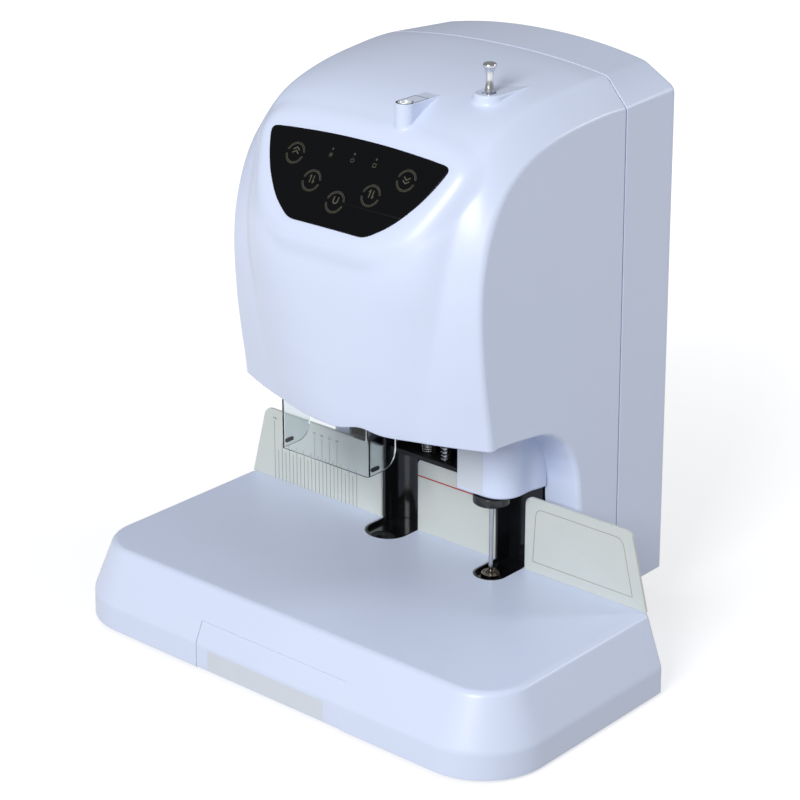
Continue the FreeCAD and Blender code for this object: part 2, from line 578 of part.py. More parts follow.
front_cover = hood.multiFuse(cheeks + [ret_r, ret_l, bed, boss_pull, boss_in])
front_cover = front_cover.cut(panel_solid(0.0, -1.8, 6.0))
front_cover = front_cover.cut(cyl(PULL[0], PULL[1], 430, 470, 5.6))
front_cover = front_cover.cut(cyl(TUBE[0], TUBE[1], 410, 470, 5.1))
front_cover = front_cover.removeSplitter()
put("front_cover", front_cover)


def rear_plan(off, y0, y1, z0):
    pts, s = outline(90.0, off)
    right = [V(x, y0, HOOD_Z + r_) for x, r_ in pts]
    left = [V(-x, y0, HOOD_Z + r_) for x, r_ in reversed(pts[:-1])]
    fx = half_width(z0) - off
    c = Part.BSplineCurve()
    c.interpolate(right + left)
    w = Part.Wire([Part.LineSegment(V(fx, y0, z0), right[0]).toShape(), c.toShape(),
                   Part.LineSegment(left[-1], V(-fx, y0, z0)).toShape(),
                   Part.LineSegment(V(-fx, y0, z0), V(fx, y0, z0)).toShape()])
    return Part.Face(w).extrude(V(0, y1 - y0, 0))


rear = rear_plan(0.0, SEAM_Y + 0.4, TOWER_BACK, TOWER_FOOT)
rear = soften(rear, 7.0, lambda e: e.BoundBox.YMin > TOWER_BACK - 0.1 and e.BoundBox.ZMax > TOWER_FOOT + 1)
rear = rear.cut(rear_plan(WALL, SEAM_Y - 1, TOWER_BACK - WALL, TOWER_FOOT - 1))
INLET = (78.0, 75.0)
SWITCH = (38.0, 75.0)
FUSE = (8.0, 75.0)
rear = rear.cut(box(INLET[0] - 14, INLET[0] + 14, 330, 350, INLET[1] - 10, INLET[1] + 10))
rear = rear.cut(box(SWITCH[0] - 9.6, SWITCH[0] + 9.6, 330, 350, SWITCH[1] - 6.6, SWITCH[1] + 6.6))
rear = rear.cut(cyl_y(FUSE[0], FUSE[1], 330, 350, 6.2))
for i in range(8):
    x0 = -84 + i * 9
    rear = rear.cut(box(x0, x0 + 4, 336, 350, 60, 110))
SCREWS = [(-112, 60), (112, 60), (-112, 250), (112, 250), (-98, 430), (98, 430)]
for x, z in SCREWS:
    rear = rear.cut(cyl_y(x, z, 330, 350, 2.2)).cut(cyl_y(x, z, 341.2, 350, 4.2))
for x, z in SCREWS:
    rear = rear.fuse(cyl_y(x, z, 323, 340.5, 4.2).cut(cyl_y(x, z, 322, 342, 1.95)))
put("rear_cover", rear.removeSplitter())

heads = []
for x, z in SCREWS:
    h = fuse([cyl_y(x, z, 341.2, 342.9, 3.6), cyl_y(x, z, 333, 341.2, 1.9)])
    h = h.cut(box(x - 2.2, x + 2.2, 342.1, 344, z - 0.45, z + 0.45)).cut(box(x - 0.45, x + 0.45, 342.1, 344, z - 2.2, z + 2.2))
    heads.append(h)

# ---------------------------------------------------------------- panel and electronics
panel = panel_solid(-0.25, -1.7, -0.25)
put("control_panel", panel)
board = face([PO + PU * u + PV * v + PN * -13.0 for u, v in ((-40, 8), (40, 8), (66, 36), (66, 58), (-66, 58), (-66, 36))])
board = board.extrude(PN * 1.6)
keys = []
KEYS = [(0, 20.9), (-30, 32.5), (30, 32.5), (-56, 50.3), (56, 50.3)]
for u, v in KEYS:
    c0 = PO + PU * u + PV * v + PN * -11.6
    keys.append(Part.makeCylinder(4.0, 5.4, c0, PN))
put("panel_board", fuse([board] + keys))

inlet_bush = fuse([ring(TUBE[0], TUBE[1], 420, TUBE_TOP, 5.0, 2.8), ring(TUBE[0], TUBE[1], TUBE_TOP, TUBE_TOP + 0.6, 5.7, 2.8)])
inlet_bush = inlet_bush.cut(Part.makeCone(2.8, 5.0, 3.6, V(TUBE[0], TUBE[1], TUBE_TOP - 3.0), V(0, 0, 1)))
put("tube_inlet_bush", inlet_bush)
put("tube_guide", ring(TUBE[0], TUBE[1], 262, 420, 5.0, 2.8).fuse(box(23.5, 34.5, 138, 152, 300, 320).cut(
    cyl(TUBE[0], TUBE[1], 290, 330, 4.0))).removeSplitter())
inlet_plate = fuse([cyl(TUBE[0], TUBE[1], TUBE_TOP, TUBE_TOP + 0.3, 7.2),
                    box(TUBE[0] - 7.2, TUBE[0] + 7.2, TUBE[1], 154.0, TUBE_TOP, TUBE_TOP + 0.3)]).cut(cyl(TUBE[0], TUBE[1], 455, 462, 5.8))
# blank cards: on the housing's front face and round the tube inlet
put("blank_cards", group([box(49.9, 75.4, 174.1, 174.6, 137, 172), inlet_plate]))

put("power_supply", fuse([box(-92, -12, 254, 330, 34, 40), box(-88, -16, 262, 322, 40, 92)]))
put("main_board", group([box(-70, 70, 262, 263.6, 130, 300)] + [cyl_y(x, z, 246, 262, 3.0) for x in (-62, 62) for z in (138, 292)]))

put("power_inlet", fuse([box(INLET[0] - 16, INLET[0] + 16, 343, 345, INLET[1] - 12, INLET[1] + 12),
                         box(INLET[0] - 13.6, INLET[0] + 13.6, 322, 343, INLET[1] - 9.6, INLET[1] + 9.6)]).cut(
    box(INLET[0] - 11.5, INLET[0] + 11.5, 328, 346, INLET[1] - 7.5, INLET[1] + 7.5)).fuse(group(
        [box(INLET[0] + dx_ - 1, INLET[0] + dx_ + 1, 327, 340, INLET[1] + dz_ - 2, INLET[1] + dz_ + 2)
         for dx_, dz_ in ((-7, -2), (0, 2), (7, -2))])).removeSplitter())
put("switch_frame", fuse([box(SWITCH[0] - 11, SWITCH[0] + 11, 343, 344.4, SWITCH[1] - 8, SWITCH[1] + 8),
                          box(SWITCH[0] - 9.3, SWITCH[0] + 9.3, 326, 343, SWITCH[1] - 6.3, SWITCH[1] + 6.3)]).cut(
    box(SWITCH[0] - 8.2, SWITCH[0] + 8.2, 330, 346, SWITCH[1] - 5.2, SWITCH[1] + 5.2)))
rock = prism_xy([(-6.4, 342.9), (0, 342.2), (6.4, 344.4), (5.6, 337.5), (0, 335.0), (-5.6, 336.0)], -4.8, 4.8)
rock.translate(V(SWITCH[0], 0, SWITCH[1]))
put("power_rocker", rock)
put("fuse_holder", fuse([cyl_y(FUSE[0], FUSE[1], 343, 345, 7.8), cyl_y(FUSE[0], FUSE[1], 318, 343, 6.0)]).cut(
    box(FUSE[0] - 5, FUSE[0] + 5, 344.2, 346, FUSE[1] - 0.8, FUSE[1] + 0.8)))

# ---------------------------------------------------------------- drill guard
GX0, GX1, GY0, GY1, GZ0, GZ1 = -90.5, 4.5, 118.0, 151.5, 149.0, 236.0
GR = 14.0
T = 2.0
g_side = [(GY0, GZ0), (GY1 - GR, GZ0)]
for k in range(1, 7):
    a = math.radians(-90 + 15 * k)
    g_side.append((GY1 - GR + GR * math.cos(a), GZ0 + GR + GR * math.sin(a)))
g_side += [(GY1, GZ1), (GY0, GZ1)]
guard = prism_yz(g_side, GX0, GX1).cut(box(GX0 + T, GX1 - T, GY0 + T, GY1 + 5, GZ0 - 5, GZ1 + 5))
guard = guard.cut(prism_yz([(122.5, 152.5), (131.5, 152.5), (131.5, 155.5), (122.5, 155.5)], 0, 8))
guard = guard.cut(prism_yz([(122.5, 152.5), (131.5, 152.5), (131.5, 155.5), (122.5, 155.5)], -94, -86))
for x in (GX0, GX1):
    guard = guard.cut(cyl_x(145, 226, x - 4, x + 4, 2.1))
put("drill_guard", guard)
bar = box(-104, 104, 158.5, 164, 240, 256)
arm_l = box(GX0 - 6, GX0 - 0.1, 142, 164, 218, 256)
arm_r = box(GX1 + 0.1, GX1 + 6, 142, 164, 218, 256)
bracket = fuse([bar, arm_l, arm_r])
for x in (GX0, GX1):
    bracket = bracket.cut(cyl_x(145, 226, x - 8, x + 8, 1.6))
put("guard_bracket", bracket)
put("screws", group(heads + [fuse([cyl_x(145, 226, GX0 + T, GX0 + T + 1.6, 3.4), cyl_x(145, 226, GX0 - 5, GX0 + T, 1.6)]),
                             fuse([cyl_x(145, 226, GX1 - T - 1.6, GX1 - T, 3.4), cyl_x(145, 226, GX1 - T, GX1 + 5, 1.6)])]))
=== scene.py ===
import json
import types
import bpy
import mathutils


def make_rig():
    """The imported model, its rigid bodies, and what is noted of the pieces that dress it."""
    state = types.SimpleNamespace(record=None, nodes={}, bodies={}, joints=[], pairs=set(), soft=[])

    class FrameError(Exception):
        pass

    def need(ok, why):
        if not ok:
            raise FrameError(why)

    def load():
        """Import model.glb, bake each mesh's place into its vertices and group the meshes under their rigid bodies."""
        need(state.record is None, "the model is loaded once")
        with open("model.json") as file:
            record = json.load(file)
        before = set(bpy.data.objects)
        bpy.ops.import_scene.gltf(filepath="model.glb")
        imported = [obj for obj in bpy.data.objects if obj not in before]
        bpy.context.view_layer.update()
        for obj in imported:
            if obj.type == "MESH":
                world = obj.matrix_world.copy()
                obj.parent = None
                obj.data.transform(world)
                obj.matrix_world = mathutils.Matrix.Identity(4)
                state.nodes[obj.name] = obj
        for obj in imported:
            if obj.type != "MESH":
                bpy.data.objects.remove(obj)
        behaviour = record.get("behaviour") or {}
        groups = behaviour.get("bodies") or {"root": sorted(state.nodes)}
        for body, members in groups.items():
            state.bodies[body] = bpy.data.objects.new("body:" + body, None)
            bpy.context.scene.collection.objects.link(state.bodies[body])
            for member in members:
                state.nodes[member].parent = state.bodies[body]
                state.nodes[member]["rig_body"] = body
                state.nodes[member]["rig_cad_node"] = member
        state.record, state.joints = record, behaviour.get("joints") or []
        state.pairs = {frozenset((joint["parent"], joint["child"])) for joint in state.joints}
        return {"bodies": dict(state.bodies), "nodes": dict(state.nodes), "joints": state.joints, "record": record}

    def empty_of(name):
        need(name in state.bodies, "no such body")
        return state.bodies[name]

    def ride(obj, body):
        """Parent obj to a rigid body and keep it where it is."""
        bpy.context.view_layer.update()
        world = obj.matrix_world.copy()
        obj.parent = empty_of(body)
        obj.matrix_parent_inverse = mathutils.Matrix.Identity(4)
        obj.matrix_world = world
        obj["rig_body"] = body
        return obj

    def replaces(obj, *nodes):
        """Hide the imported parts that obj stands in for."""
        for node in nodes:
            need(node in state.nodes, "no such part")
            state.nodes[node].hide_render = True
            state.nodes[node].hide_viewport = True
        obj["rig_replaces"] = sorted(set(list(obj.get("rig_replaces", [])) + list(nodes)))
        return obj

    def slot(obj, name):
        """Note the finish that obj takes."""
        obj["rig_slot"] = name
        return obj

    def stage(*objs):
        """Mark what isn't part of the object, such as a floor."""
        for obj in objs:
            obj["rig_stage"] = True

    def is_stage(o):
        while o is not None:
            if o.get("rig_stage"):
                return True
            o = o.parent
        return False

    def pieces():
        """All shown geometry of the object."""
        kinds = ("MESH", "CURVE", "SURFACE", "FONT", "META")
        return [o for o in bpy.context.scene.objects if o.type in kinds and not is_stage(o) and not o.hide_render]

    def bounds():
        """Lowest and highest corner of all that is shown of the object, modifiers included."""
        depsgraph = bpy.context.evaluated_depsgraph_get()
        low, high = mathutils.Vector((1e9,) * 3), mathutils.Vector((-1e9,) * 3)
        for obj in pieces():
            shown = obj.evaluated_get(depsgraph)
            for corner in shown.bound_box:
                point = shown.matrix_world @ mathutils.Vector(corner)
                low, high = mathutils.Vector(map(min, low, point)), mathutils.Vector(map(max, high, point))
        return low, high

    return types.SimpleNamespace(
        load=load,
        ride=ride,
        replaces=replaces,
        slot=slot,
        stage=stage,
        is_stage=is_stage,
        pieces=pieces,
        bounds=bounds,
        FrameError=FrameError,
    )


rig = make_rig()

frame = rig.load()
import bpy
import bmesh
import json
import math
import numpy as np
from mathutils import Vector, geometry
from mathutils.bvhtree import BVHTree

# Looks of a desk machine that drills a stack of papers and closes a plastic
# rivet tube through it.  Lengths below are in millimetres on the axes used for
# the CAD drawing (X right, Y back, Z up, from the middle of the base cover's
# lower front edge); m() turns them into the frame's metres.

CAD_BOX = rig.bounds()
SCENE = bpy.context.scene
SHIFT = np.array([0.0, -172.5, 3.0])
RNG = np.random.default_rng(7)


def m(p):
    return (np.asarray(p, float) + SHIFT) / 1000.0


# ------------------------------------------------------------------ camera
cam_data = bpy.data.cameras.new("camera")
cam_data.sensor_width = 36.0
cam_data.lens = 110.66
cam_data.clip_start, cam_data.clip_end = 0.05, 30.0
cam = bpy.data.objects.new("camera", cam_data)
SCENE.collection.objects.link(cam)
AZ, EL = math.radians(41.019), math.radians(22.0)
BACK = Vector((math.sin(AZ) * math.cos(EL), -math.cos(AZ) * math.cos(EL), math.sin(EL)))
cam.location = (1.19414, -1.38367, 0.93961)
cam.rotation_euler = (-BACK).to_track_quat("-Z", "Y").to_euler()
SCENE.camera = cam
SCENE.view_settings.view_transform = "Standard"
SCENE.view_settings.look = "None"


# ------------------------------------------------------------------ materials
def srgb(r, g, b):
    out = []
    for c in (r, g, b):
        c = c / 255.0
        out.append(c / 12.92 if c <= 0.04045 else ((c + 0.055) / 1.055) ** 2.4)
    return tuple(out) + (1.0,)


def scaled(c, k):
    return (min(c[0] * k, 1.0), min(c[1] * k, 1.0), min(c[2] * k, 1.0), 1.0)


def material(name, base, rough=0.4, metallic=0.0, vary=0.03, mottle=35.0, rough_vary=0.06, bump=0.02, grain=900.0,
             stretch=(1, 1, 1), edge_wear_and_highlight=0.0, edge_wear_and_highlight_color=None, coat=0.0, coat_rough=0.1, ior=1.46, spec=0.5, aniso=0.0, second=None):
    """Procedural surface: mottled colour, uneven roughness, fine grain as bump, and lighter convex edges that are
    partly worn edges and partly a painted highlight.
    """
    mat = bpy.data.materials.new(name)
    mat.use_nodes = True
    nt = mat.node_tree
    nt.nodes.clear()
    N, L = nt.nodes, nt.links
    out = N.new("ShaderNodeOutputMaterial")
    b = N.new("ShaderNodeBsdfPrincipled")
    L.new(b.outputs[0], out.inputs[0])
    b.inputs["Metallic"].default_value = metallic
    b.inputs["IOR"].default_value = ior
    b.inputs["Specular IOR Level"].default_value = spec
    if coat:
        b.inputs["Coat Weight"].default_value = coat
        b.inputs["Coat Roughness"].default_value = coat_rough
    if aniso:
        b.inputs["Anisotropic"].default_value = aniso
    tc = N.new("ShaderNodeTexCoord")
    mp = N.new("ShaderNodeMapping")
    mp.inputs["Scale"].default_value = stretch
    L.new(tc.outputs["Object"], mp.inputs["Vector"])
    # colour: soft mottling
    n1 = N.new("ShaderNodeTexNoise")
    n1.inputs["Scale"].default_value = mottle
    n1.inputs["Detail"].default_value = 4.0
    n1.inputs["Roughness"].default_value = 0.55
    L.new(mp.outputs[0], n1.inputs["Vector"])
    r1 = N.new("ShaderNodeValToRGB")
    r1.color_ramp.elements[0].position = 0.30
    r1.color_ramp.elements[1].position = 0.70
    r1.color_ramp.elements[0].color = scaled(base, 1.0 - vary)
    r1.color_ramp.elements[1].color = scaled(second or base, 1.0 + vary)
    L.new(n1.outputs["Fac"], r1.inputs["Fac"])
    colour = r1.outputs["Color"]
    # fine grain
    n2 = N.new("ShaderNodeTexNoise")
    n2.inputs["Scale"].default_value = grain
    n2.inputs["Detail"].default_value = 3.0
    n2.inputs["Roughness"].default_value = 0.6
    L.new(mp.outputs[0], n2.inputs["Vector"])
    # convex edges (pointiness) mixed toward a lighter colour through a noise mask: partly worn edges, partly a painted
    # highlight along the edges
    if edge_wear_and_highlight:
        geo = N.new("ShaderNodeNewGeometry")
        wr = N.new("ShaderNodeValToRGB")
        wr.color_ramp.elements[0].position = 0.53
        wr.color_ramp.elements[1].position = 0.62
        L.new(geo.outputs["Pointiness"], wr.inputs["Fac"])
        n3 = N.new("ShaderNodeTexNoise")
        n3.inputs["Scale"].default_value = 140.0
        n3.inputs["Detail"].default_value = 5.0
        L.new(tc.outputs["Object"], n3.inputs["Vector"])
        mu = N.new("ShaderNodeMath")
        mu.operation = "MULTIPLY"
        L.new(wr.outputs["Color"], mu.inputs[0])
        L.new(n3.outputs["Fac"], mu.inputs[1])
        mu2 = N.new("ShaderNodeMath")
        mu2.operation = "MULTIPLY"
        mu2.inputs[1].default_value = edge_wear_and_highlight
        L.new(mu.outputs[0], mu2.inputs[0])
        mx = N.new("ShaderNodeMix")
        mx.data_type = "RGBA"
        L.new(mu2.outputs[0], mx.inputs[0])
        L.new(colour, mx.inputs[6])
        mx.inputs[7].default_value = edge_wear_and_highlight_color or scaled(base, 1.25)
        colour = mx.outputs[2]
    L.new(colour, b.inputs["Base Color"])
    # roughness follows the mottling
    rr = N.new("ShaderNodeMapRange")
    rr.inputs["From Min"].default_value = 0.3
    rr.inputs["From Max"].default_value = 0.7
    rr.inputs["To Min"].default_value = max(rough - rough_vary, 0.02)
    rr.inputs["To Max"].default_value = min(rough + rough_vary, 1.0)
    L.new(n1.outputs["Fac"], rr.inputs["Value"])
    L.new(rr.outputs["Result"], b.inputs["Roughness"])
    if bump:
        bp = N.new("ShaderNodeBump")
        bp.inputs["Strength"].default_value = bump
        bp.inputs["Distance"].default_value = 0.0005
        L.new(n2.outputs["Fac"], bp.inputs["Height"])
        L.new(bp.outputs["Normal"], b.inputs["Normal"])
        if coat:
            L.new(bp.outputs["Normal"], b.inputs["Coat Normal"])
    return mat, b, nt


WHITE = srgb(216, 226, 250)
MAT = {}
# the white cover's lighter edges are a painted highlight
MAT["white"] = material("cover_white", WHITE, rough=0.36, vary=0.008, mottle=9.0, rough_vary=0.03, bump=0.05, grain=1500.0,
                        edge_wear_and_highlight=0.10, coat=0.12, coat_rough=0.22)[0]
MAT["plate"] = material("plate_grey", srgb(203, 209, 205), rough=0.42, vary=0.012, mottle=22.0, bump=0.10, grain=700.0,
                        edge_wear_and_highlight=0.15, edge_wear_and_highlight_color=srgb(225, 232, 236))[0]
MAT["card"] = material("card_grey", srgb(212, 219, 229), rough=0.48, vary=0.015, mottle=30.0, bump=0.04, grain=1200.0, edge_wear_and_highlight=0.05)[0]
MAT["panel"] = material("panel_black", srgb(9, 10, 13), rough=0.16, vary=0.10, mottle=14.0, rough_vary=0.03, bump=0.004, grain=60.0,
                        edge_wear_and_highlight=0.35, edge_wear_and_highlight_color=srgb(70, 74, 80), spec=0.16)[0]
MAT["gloss_black"] = material("liner_black", srgb(13, 14, 16), rough=0.20, vary=0.12, mottle=25.0, rough_vary=0.07, bump=0.02, grain=500.0,
                              edge_wear_and_highlight=0.3, edge_wear_and_highlight_color=srgb(60, 63, 68), coat=0.3, coat_rough=0.12)[0]
MAT["black"] = material("black_matt", srgb(20, 21, 23), rough=0.55, vary=0.12, mottle=60.0, rough_vary=0.10, bump=0.08, grain=900.0,
                        edge_wear_and_highlight=0.3, edge_wear_and_highlight_color=srgb(66, 68, 72))[0]
MAT["rubber"] = material("rubber_black", srgb(26, 26, 27), rough=0.82, vary=0.10, mottle=80.0, bump=0.25, grain=1400.0, spec=0.3,
                         edge_wear_and_highlight=0.3, edge_wear_and_highlight_color=srgb(60, 60, 62))[0]
MAT["steel"] = material("steel_ground", srgb(196, 197, 199), rough=0.24, metallic=1.0, vary=0.05, mottle=70.0, rough_vary=0.08, bump=0.03,
                        grain=500.0, stretch=(1, 1, 0.06), edge_wear_and_highlight=0.4, edge_wear_and_highlight_color=srgb(235, 236, 238), aniso=0.4)[0]
MAT["die_steel"] = material("die_bronzed", srgb(150, 140, 128), rough=0.22, metallic=1.0, vary=0.10, mottle=90.0, rough_vary=0.08, bump=0.03,
                            grain=700.0, edge_wear_and_highlight=0.5, edge_wear_and_highlight_color=srgb(206, 200, 190), second=srgb(132, 118, 104))[0]
MAT["chrome"] = material("chrome", srgb(206, 207, 210), rough=0.24, metallic=1.0, vary=0.02, mottle=30.0, rough_vary=0.03, bump=0.01,
                         grain=250.0, edge_wear_and_highlight=0.2, edge_wear_and_highlight_color=srgb(240, 240, 242))[0]
MAT["bright"] = material("eyelet_nickel", srgb(222, 226, 232), rough=0.32, metallic=0.35, vary=0.05, mottle=90.0, rough_vary=0.06, bump=0.02,
                         grain=700.0, edge_wear_and_highlight=0.3, edge_wear_and_highlight_color=srgb(236, 237, 240))[0]
MAT["spring"] = material("spring_steel", srgb(186, 187, 190), rough=0.24, metallic=1.0, vary=0.10, mottle=110.0, rough_vary=0.08, bump=0.05,
                         grain=1200.0, edge_wear_and_highlight=0.4, edge_wear_and_highlight_color=srgb(215, 216, 219))[0]
MAT["black_steel"] = material("black_steel", srgb(17, 18, 22), rough=0.56, vary=0.12, mottle=45.0, rough_vary=0.08, bump=0.14, grain=800.0,
                              edge_wear_and_highlight=0.35, edge_wear_and_highlight_color=srgb(84, 87, 92), spec=0.25)[0]
MAT["alloy"] = material("alloy_machined", srgb(190, 192, 195), rough=0.34, metallic=1.0, vary=0.05, mottle=50.0, rough_vary=0.08, bump=0.08,
                        grain=420.0, stretch=(0.05, 1, 1), edge_wear_and_highlight=0.4, edge_wear_and_highlight_color=srgb(228, 229, 232), aniso=0.3)[0]
MAT["brass"] = material("heater_brass", srgb(196, 160, 92), rough=0.34, metallic=1.0, vary=0.10, mottle=60.0, rough_vary=0.10, bump=0.06,
                        grain=400.0, edge_wear_and_highlight=0.4, edge_wear_and_highlight_color=srgb(226, 200, 140), second=srgb(176, 134, 74))[0]
MAT["motor"] = material("motor_steel", srgb(118, 121, 126), rough=0.38, metallic=0.85, vary=0.08, mottle=40.0, rough_vary=0.08, bump=0.05,
                        grain=700.0, stretch=(1, 1, 0.1), edge_wear_and_highlight=0.4, edge_wear_and_highlight_color=srgb(170, 172, 176))[0]
MAT["zinc"] = material("screw_zinc", srgb(176, 180, 186), rough=0.30, metallic=1.0, vary=0.07, mottle=160.0, rough_vary=0.08, bump=0.05,
                       grain=1500.0, edge_wear_and_highlight=0.4, edge_wear_and_highlight_color=srgb(220, 222, 226))[0]
MAT["nylon"] = material("black_nylon", srgb(22, 22, 24), rough=0.50, vary=0.10, mottle=60.0, rough_vary=0.08, bump=0.12, grain=1300.0,
                        edge_wear_and_highlight=0.3, edge_wear_and_highlight_color=srgb(64, 65, 68))[0]
MAT["psu"] = material("psu_metal", srgb(182, 185, 189), rough=0.36, metallic=1.0, vary=0.05, mottle=30.0, rough_vary=0.08, bump=0.04,
                      grain=300.0, stretch=(0.04, 1, 1), edge_wear_and_highlight=0.3, edge_wear_and_highlight_color=srgb(214, 216, 220), aniso=0.3)[0]
MAT["red"] = material("print_red", srgb(176, 24, 30), rough=0.42, vary=0.05, mottle=200.0, bump=0.02, grain=1500.0)[0]
MAT["ink"] = material("print_grey", srgb(92, 94, 96), rough=0.45, vary=0.08, mottle=300.0, bump=0.02, grain=1500.0)[0]
MAT["ink_brown"] = material("print_brown", srgb(140, 118, 110), rough=0.45, vary=0.08, mottle=300.0, bump=0.02, grain=1500.0)[0]
MAT["ink_dark"] = material("print_dark", srgb(36, 39, 46), rough=0.45, vary=0.08, mottle=300.0, bump=0.02, grain=1500.0)[0]
MAT["icon"] = material("print_olive", srgb(84, 82, 70), rough=0.30, vary=0.10, mottle=260.0, bump=0.01, grain=900.0)[0]
MAT["lamp"] = material("lamp_lens", srgb(40, 43, 48), rough=0.14, vary=0.10, mottle=400.0, bump=0.01, grain=900.0, coat=0.3)[0]


def board_material():
    mat, b, nt = material("board_green", srgb(22, 84, 44), rough=0.38, vary=0.10, mottle=60.0, bump=0.03, grain=900.0, coat=0.2,
                          edge_wear_and_highlight=0.2, edge_wear_and_highlight_color=srgb(190, 170, 96))
    N, L = nt.nodes, nt.links
    tc = N.new("ShaderNodeTexCoord")
    br = N.new("ShaderNodeTexBrick")
    br.inputs["Scale"].default_value = 160.0
    br.inputs["Mortar Size"].default_value = 0.012
    br.inputs["Color1"].default_value = (1, 1, 1, 1)
    br.inputs["Color2"].default_value = (0.86, 0.86, 0.86, 1)
    br.inputs["Mortar"].default_value = (0.45, 0.45, 0.45, 1)
    L.new(tc.outputs["Object"], br.inputs["Vector"])
    mx = N.new("ShaderNodeMix")
    mx.data_type = "RGBA"
    mx.blend_type = "MULTIPLY"
    mx.inputs[0].default_value = 0.8
    src = b.inputs["Base Color"].links[0].from_socket
    L.new(src, mx.inputs[6])
    L.new(br.outputs["Color"], mx.inputs[7])
    L.new(mx.outputs[2], b.inputs["Base Color"])
    return mat


MAT["board"] = board_material()


def acrylic_material():
    mat, b, nt = material("clear_acrylic", srgb(238, 243, 246), rough=0.05, vary=0.01, mottle=20.0, rough_vary=0.02, bump=0.004, grain=40.0,
                          ior=1.27, edge_wear_and_highlight=0.15, edge_wear_and_highlight_color=srgb(250, 252, 253), spec=0.5)
    b.inputs["Transmission Weight"].default_value = 1.0
    return mat


MAT["acrylic"] = acrylic_material()


def film_material():
    mat, b, nt = material("clear_film", srgb(222, 226, 230), rough=0.35, vary=0.02, mottle=60.0, bump=0.02, grain=900.0, ior=1.45)
    b.inputs["Alpha"].default_value = 0.35
    return mat


MAT["film"] = film_material()

SLOT_MAT = {"cover_white": "white", "plate_grey": "plate", "card_grey": "card", "panel_black": "panel", "liner_black": "gloss_black",
            "rubber_black": "rubber", "bright_steel": "steel", "spring_steel": "spring", "chrome": "chrome",
            "black_steel": "black_steel", "alloy": "alloy", "heater_brass": "brass", "motor_steel": "motor",
            "clear_acrylic": "acrylic", "board_green": "board", "psu_metal": "psu", "black_nylon": "nylon",
            "inlet_metal": "steel", "screw_zinc": "zinc"}
NODE_SLOT = {s["node"]: s["material_slot"] for s in frame["record"]["subparts"]}
BODY_OF = {n: body for body, ns in frame["record"]["behaviour"]["bodies"].items() for n in ns}


# ------------------------------------------------------------------ mesh tools
class Shell:
    """Collects points in millimetres and faces; bm() welds them into one mesh."""

    def __init__(self):
        self.v, self.f = [], []

    def add(self, pts):
        s = len(self.v)
        self.v.extend([tuple(map(float, p)) for p in pts])
        return list(range(s, s + len(pts)))

    def rows(self, rows, flip=False, close=False, skip=None):
        idx = [self.add(r) for r in rows]
        n = len(idx[0])
        for i, (a, b) in enumerate(zip(idx, idx[1:])):
            for j in range(n if close else n - 1):
                if skip and skip(i, j):
                    continue
                k = (j + 1) % n
                q = (a[j], a[k], b[k], b[j])
                self.f.append(q[::-1] if flip else q)
        return idx

    def poly(self, loops, normal):
        """Flat region between an outer loop and its holes."""
        clean = []
        for lp in loops:
            pts = [np.asarray(p, float) for p in lp]
            keep = []
            for p in pts:
                if not keep or np.linalg.norm(p - keep[-1]) > 0.004:
                    keep.append(p)
            if np.linalg.norm(keep[0] - keep[-1]) <= 0.004:
                keep.pop()
            clean.append(keep)
        tris = geometry.tessellate_polygon([[Vector(p) for p in lp] for lp in clean])
        flat = [p for lp in clean for p in lp]
        idx = self.add(flat)
        nv = np.asarray(normal, float)
        for a, b, c in tris:
            n = np.cross(flat[b] - flat[a], flat[c] - flat[a])
            t = (a, b, c) if n @ nv > 0 else (a, c, b)
            self.f.append(tuple(idx[k] for k in t))

    def ngon(self, pts, normal):
        p = np.asarray(pts, float)
        idx = self.add(p)
        c = p.mean(0)
        n = sum(np.cross(p[i] - c, p[(i + 1) % len(p)] - c) for i in range(len(p)))
        self.f.append(tuple(idx if n @ np.asarray(normal, float) > 0 else idx[::-1]))

    def bm(self, weld=0.01):
        bm = bmesh.new()
        vs = [bm.verts.new(m(p)) for p in self.v]
        for f in self.f:
            u = []
            for k in f:
                if vs[k] not in u:
                    u.append(vs[k])
            if len(u) > 2:
                try:
                    bm.faces.new(u)
                except ValueError:
                    pass
        if weld:
            bmesh.ops.remove_doubles(bm, verts=bm.verts[:], dist=weld / 1000.0)
        loose = [v for v in bm.verts if not v.link_faces]
        bmesh.ops.delete(bm, geom=loose, context="VERTS")
        return bm


def thicken(bm, t, limit=1.6):
    """Gives an open skin a wall of t mm on its inner side and closes its rim."""
    bm.normal_update()
    bm.verts.ensure_lookup_table()
    n = len(bm.verts)
    old = bm.verts[:]
    co = [v.co - v.normal * (t / 1000.0) * min(v.calc_shell_factor(), limit) for v in old]
    rim = [e for e in bm.edges if len(e.link_faces) == 1]
    faces = [[v.index for v in f.verts] for f in bm.faces]
    bm.verts.index_update()
    faces = [[v.index for v in f.verts] for f in bm.faces]
    rims = []
    for e in rim:
        f = e.link_faces[0]
        vs = [v.index for v in f.verts]
        a, b = e.verts[0].index, e.verts[1].index
        i = vs.index(a)
        if vs[(i + 1) % len(vs)] == b:
            rims.append((a, b))
        else:
            rims.append((b, a))
    new = [bm.verts.new(c) for c in co]
    for f in faces:
        try:
            bm.faces.new([new[k] for k in reversed(f)])
        except ValueError:
            pass
    for a, b in rims:
        try:
            bm.faces.new([old[b], old[a], new[a], new[b]])
        except ValueError:
            pass
    return bm


def finish_mesh(obj, angle=32.0, weighted=True):
    me = obj.data
    for p in me.polygons:
        p.use_smooth = True
    me.set_sharp_from_angle(angle=math.radians(angle))
    if weighted:
        w = obj.modifiers.new("even_normals", "WEIGHTED_NORMAL")
        w.keep_sharp = True
        w.weight = 50
    return obj


